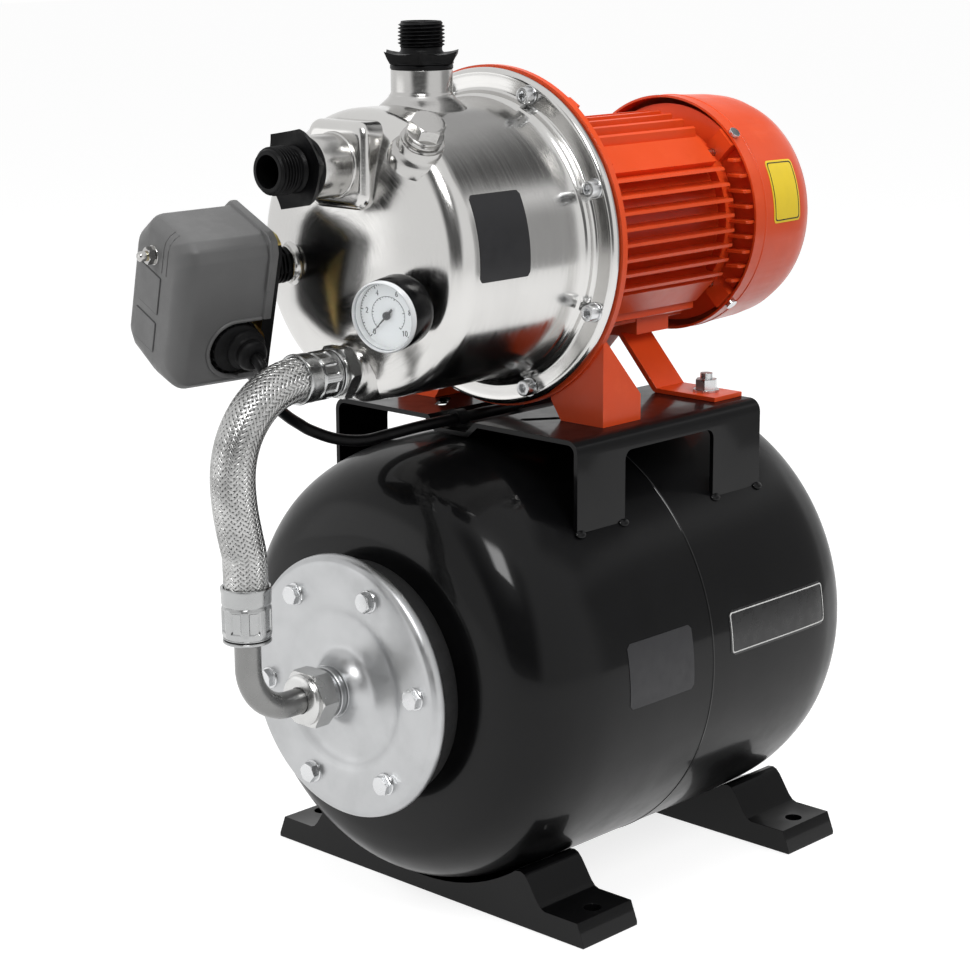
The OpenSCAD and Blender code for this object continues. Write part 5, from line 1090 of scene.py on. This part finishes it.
def make_gauge():
    def part(name, shape, mat, node, angle=40, turn=0):
        piece("gauge_" + name, shape, mat, node, angle, GAUGE @ OUT @ rot(turn, "Z"))

    part("dial_wall", sleeve(96, (19.05, 25.6), (19.05, 30.0), (18.5, 30.4), (18.5, 25.6)), "white", "gauge_dial")
    part("body", lathe(128, (0, 7.0), (16.2, 7.0), (17.2, 7.6), (18.6, 8.4), (19.6, 9.6), (20.3, 11.4), (20.6, 13.8),
                       (20.7, 20), (20.7, 28.4), (20.5, 28.8), (20.0, 28.9), (19.1, 28.9), (19.1, 24), (0, 24)),
         "gloss", "gauge_case")
    part("stem", join(hexer(7.9, 3.3, 7.2, 0.6, 0.6, 0.5, 60), lathe(36, (0, -7), (5.9, -7), (5.9, 3.6), (0, 3.6))),
         "brass", "gauge_case", 30)
    part("dial_plate", lathe(96, (0, 24.05), (19.0, 24.05), (19.0, 25.3), (18.6, 25.6), (0, 25.6)), "white",
         "gauge_dial")
    part("marks", dial_marks(), "ink", "gauge_dial")
    half = ((0.75, -5.2), (0.6, 0), (0.28, 8), (0.12, 14.2))
    outline = [(-0.75, -5.2), *half, *[(-x, y) for x, y in half[:0:-1]]]
    hub = lathe(36, (0, 25.0), (1.2, 25.0), (1.2, 26.9), (2.3, 27.0), (2.3, 28.2), (1.9, 28.6), (0, 28.7))
    needle = grid(scaled([[(x, y, z) for x, y in outline] for z in (27.1, 27.5)]), True)
    part("pointer", join(needle, hub), "ink", "gauge_needle", 30, 135)
    part("window", lathe(96, (0, 30.9), (19.2, 30.9), (19.2, 31.9), (12, 32.3), (0, 32.5)), "lens", "gauge_lens")
    part("window_rim", sleeve(128, (19.1, 30.2), (20.4, 29.0), (20.6, 29.6), (20.6, 31.2), (20.4, 32.2), (20.0, 32.8),
                              (19.6, 33.0), (19.3, 32.8), (19.1, 32.2)), "rim", "gauge_lens")


# ---- rear of the motor ----

def make_motor_rear():
    """Web of the end bell inside the mouth of the fan cover, with its fins, and the bead pressed round the cover."""
    parts = [sleeve(96, (52, 107.4), (60, 107.6), (71.5, 110.4), (71.5, 111.8), (60, 110), (52, 110))]
    fin_pitch, mouth_r, web_r = 9.7, 74.9, 57
    for turn in (0, 180):
        for z in (fin_pitch * k for k in range(-5, 6)):
            x0, x1 = max(web_r, abs(z) + 12), math.sqrt(mouth_r ** 2 - (abs(z) + 1) ** 2)
            if x1 - x0 < 3:
                continue
            half = (x1 - x0) / 2
            fin = loft([(98.5, half - 1.2, 0.8, 0.3), (99.6, half, 1.0, 0.3), (111.4, half, 1.0, 0.3)])
            parts.append(moved(fin, rot(turn, "Z") @ shift((x0 + x1) / 2 * MM, z * MM, 0)))
    piece("end_bell_web", join(*parts), "orange_cast", "rear_end_bell", 30, PUMP @ BACK)
    bead = sleeve(160, (76.5, 114.6), (76.95, 114.8), (77.25, 115.3), (77.25, 115.9), (76.95, 116.4), (76.5, 116.6))
    piece("fan_cover_bead", bead, "orange", "fan_cover", 60, PUMP @ BACK)


# ---- bare label plates and welds ----

def on_barrel(r_at, y, z, angle, lift):
    """A point just off a body of revolution whose axis runs along Y at height z."""
    r = r_at(y) + lift
    return r * math.cos(angle), y, z + r * math.sin(angle)


def patch(r_at, a0, a1, y0, y1, z, lift, corner=0.0025):
    """Closed thin plate on a body of revolution; its outline has rounded corners."""
    cols, rows_n, sink = 18, 24, -0.0004
    hy, cy = (y1 - y0) / 2, (y0 + y1) / 2
    ca, r_mid = radians(a0 + a1) / 2, r_at(cy)
    rows = []
    for k in range(rows_n + 1):
        y = -hy + 2 * hy * k / rows_n
        into_corner = max(0.0, abs(y) - (hy - corner))
        w = radians(a1 - a0) / 2 * r_mid - (corner - math.sqrt(max(0.0, corner ** 2 - into_corner ** 2)))
        edge = [(i, lift) for i in range(cols + 1)] + [(cols, sink), (0, sink)]
        rows.append([on_barrel(r_at, cy + y, z, ca + (-w + 2 * w * i / cols) / r_mid, up) for i, up in edge])
    return grid(rows, True)


def dense(loop, long_side=7, n=16):
    """Splits the straight sides of a rounded rectangle into short steps."""
    out = []
    for i, p in enumerate(loop):
        q = loop[(i + 1) % len(loop)]
        k = n if i % long_side == long_side - 1 else 1
        out += [(p[0] + (q[0] - p[0]) * j / k, p[1] + (q[1] - p[1]) * j / k) for j in range(k)]
    return out


def frame_line(r_at, a0, a1, y0, y1, z, lift, w, corner=0.002):
    """A thin raised outline just inside a label's edge."""
    hy, cy = (y1 - y0) / 2, (y0 + y1) / 2
    ca, r_mid = radians(a0 + a1) / 2, r_at(cy)
    ha = radians(a1 - a0) / 2 * r_mid
    rows = []
    for off, up in ((0, 0.0), (0, lift), (w, lift), (w, 0.0)):
        loop = dense(round_rect(ha - off, hy - off, corner, 6))
        rows.append([on_barrel(r_at, cy + y, z, ca + x / r_mid, up) for x, y in loop])
    return grid(rows + rows[:1])


def tank_r_at(y):
    """Radius of the tank's sheet at y, after the profiles in make_tank."""
    pts = [(68.5, 140), (104.5, 139.1), (124.5, 136.6)] if y < 0 else [(62.5, 140), (98.5, 139.0), (114.5, 136.4)]
    h = abs(y) * 1000
    if h <= pts[0][0]:
        return TANK_R
    for k, ((h0, r0), (h1, r1)) in enumerate(zip(pts, pts[1:])):
        if h <= h1:
            t = (h - h0) / (h1 - h0)
            return (r0 + (r1 - r0) * (t * t if k == 0 else t)) / 1000
    return pts[-1][1] / 1000


def make_labels():
    def barrel(y):
        return BARREL_R * MM

    def fan_cover(y):
        return 0.0773 - 0.002 * (y - 0.1045) / 0.0455 if y < 0.150 else 0.0753 - 0.0012 * (y - 0.150) / 0.010

    margin = 0.0014
    for name, r_at, a0, a1, y0, y1, z, mat, node, line in (
        ("casing_plate", barrel, -6.4, 27.6, -0.1600, -0.1185, PUMP_Z, "label_dark", "pump_casing", None),
        ("cover_plate", fan_cover, -2.2, 28.8, 0.1245, 0.1545, PUMP_Z, "label_yellow", "fan_cover", "label_black"),
        ("tank_plate_small", tank_r_at, -3.4, 13.0, -0.0910, -0.0315, TANK_Z, "label_dark2", "tank_front_shell", None),
        ("tank_plate_large", tank_r_at, 1.4, 13.0, 0.0050, 0.1055, TANK_Z, "label_black", "tank_rear_shell",
         "label_white"),
    ):
        piece(name, patch(r_at, a0, a1, y0, y1, z, 0.00028), mat, node, 30)
        if line:
            da = math.degrees(margin / r_at((y0 + y1) / 2))
            outline = frame_line(r_at, a0 + da, a1 - da, y0 + margin, y1 - margin, z, 0.00042, 0.0007)
            piece(name + "_line", outline, line, node, 30)


def make_welds():
    """Small flattened beads where the plate's legs meet the tank."""
    size, seg, x = 0.0028, 20, 0.1038
    rows = []
    for t in (k / 8 for k in range(9)):
        r = size * math.sin(t * pi) ** 0.6 if 0 < t < 1 else ON_AXIS * MM
        rows.append([(u * 1.5, v, h) for u, v, h in ring(r, (t - 0.35) * size * 1.1, seg)])
    beads = []
    for y in (-0.0955, -0.0562, 0.0325, 0.0755):
        for s in (-1, 1):
            m = Vector((s * 0.74, 0, 0.67)).to_track_quat("Z", "Y").to_matrix().to_4x4()
            m.translation = (s * x, y, TANK_Z + math.sqrt(TANK_R ** 2 - x ** 2))
            beads.append(moved(grid(rows), m))
    piece("plate_welds", join(*beads), "enamel", "pump_mount_plate", 60)


def make_switch_base():
    """The base is chromate gold; its neck and the far sides are black."""
    base = recast("switch_base", "gold", 30, 0.0002)
    base.data.materials.append(MATS["plastic"])
    to_switch = (SWITCH @ OUT).inverted()
    for f in base.data.polygons:
        c, is_side = to_switch @ f.center, abs((to_switch.to_3x3() @ f.normal).z) < 0.5
        if c.z < 0.0283 and math.hypot(c.x, c.y) < 0.0145 or is_side and abs(c.x) > 0.026:
            f.material_index = 1


# ---- everything ----

# material: the hidden and inner CAD nodes that keep their own mesh
INNER = {
    "rubber": ("tank_bladder", "casing_gasket", "switch_diaphragm"), "inner": ("ejector_housing", "diffuser"),
    "brass": ("tank_valve_body", "tank_valve_pin", "ejector_nozzle", "impeller"), "carbon": ("seal_rotating_ring",),
    "ceramic": ("seal_seat",), "iron": ("stator_core", "rotor_core"), "copper": ("stator_windings",),
    "shaft": ("motor_shaft", "motor_bearings", "switch_plunger"), "can": ("start_capacitor",),
    "plastic": ("cooling_fan", "contact_block", "cable_clip"), "gold": ("contact_lever",), "bolt": ("motor_tie_bolts",),
}
# node, material, smoothing angle, edge radius: the CAD nodes shown in their own shape
RECAST = [
    ("motor_bracket", "orange_cast", 30, 0.0006), ("motor_housing", "orange_cast", 30, 0.0004),
    ("rear_end_bell", "orange_cast", 30, None), ("fan_cover", "orange", 30, None),
    ("motor_support_strap", "orange", 30, 0.0005), ("pump_mount_plate", "enamel", 30, 0.0008),
    ("front_foot", "enamel", 24, 0.0014), ("rear_foot", "enamel", 24, 0.0014),
    ("terminal_box", "box", 30, 0.0006), ("terminal_box_lid", "box", 30, 0.0006),
    ("tank_valve_cap", "plastic", 30, 0.0004), ("pump_mount_bolts", "bolt", 30, 0.0004),
    ("cover_screws", "bolt", 30, 0.0003),
]

make_camera()
make_stage()
MATS = make_materials()
for mat, nodes in INNER.items():
    for node in nodes:
        plain(node, mat)
for row in RECAST:
    recast(*row)
make_switch_base()
make_hose()
make_lead()
make_casing()
make_ports()
make_casing_bolts()
make_tank()
make_tank_flange()
make_hose_ends()
make_switch()
make_glands()
make_nipple()
make_range_spring()
make_gauge()
make_motor_rear()
make_labels()
make_welds()

bpy.context.scene.view_settings.view_transform = "Standard"
bpy.context.view_layer.update()
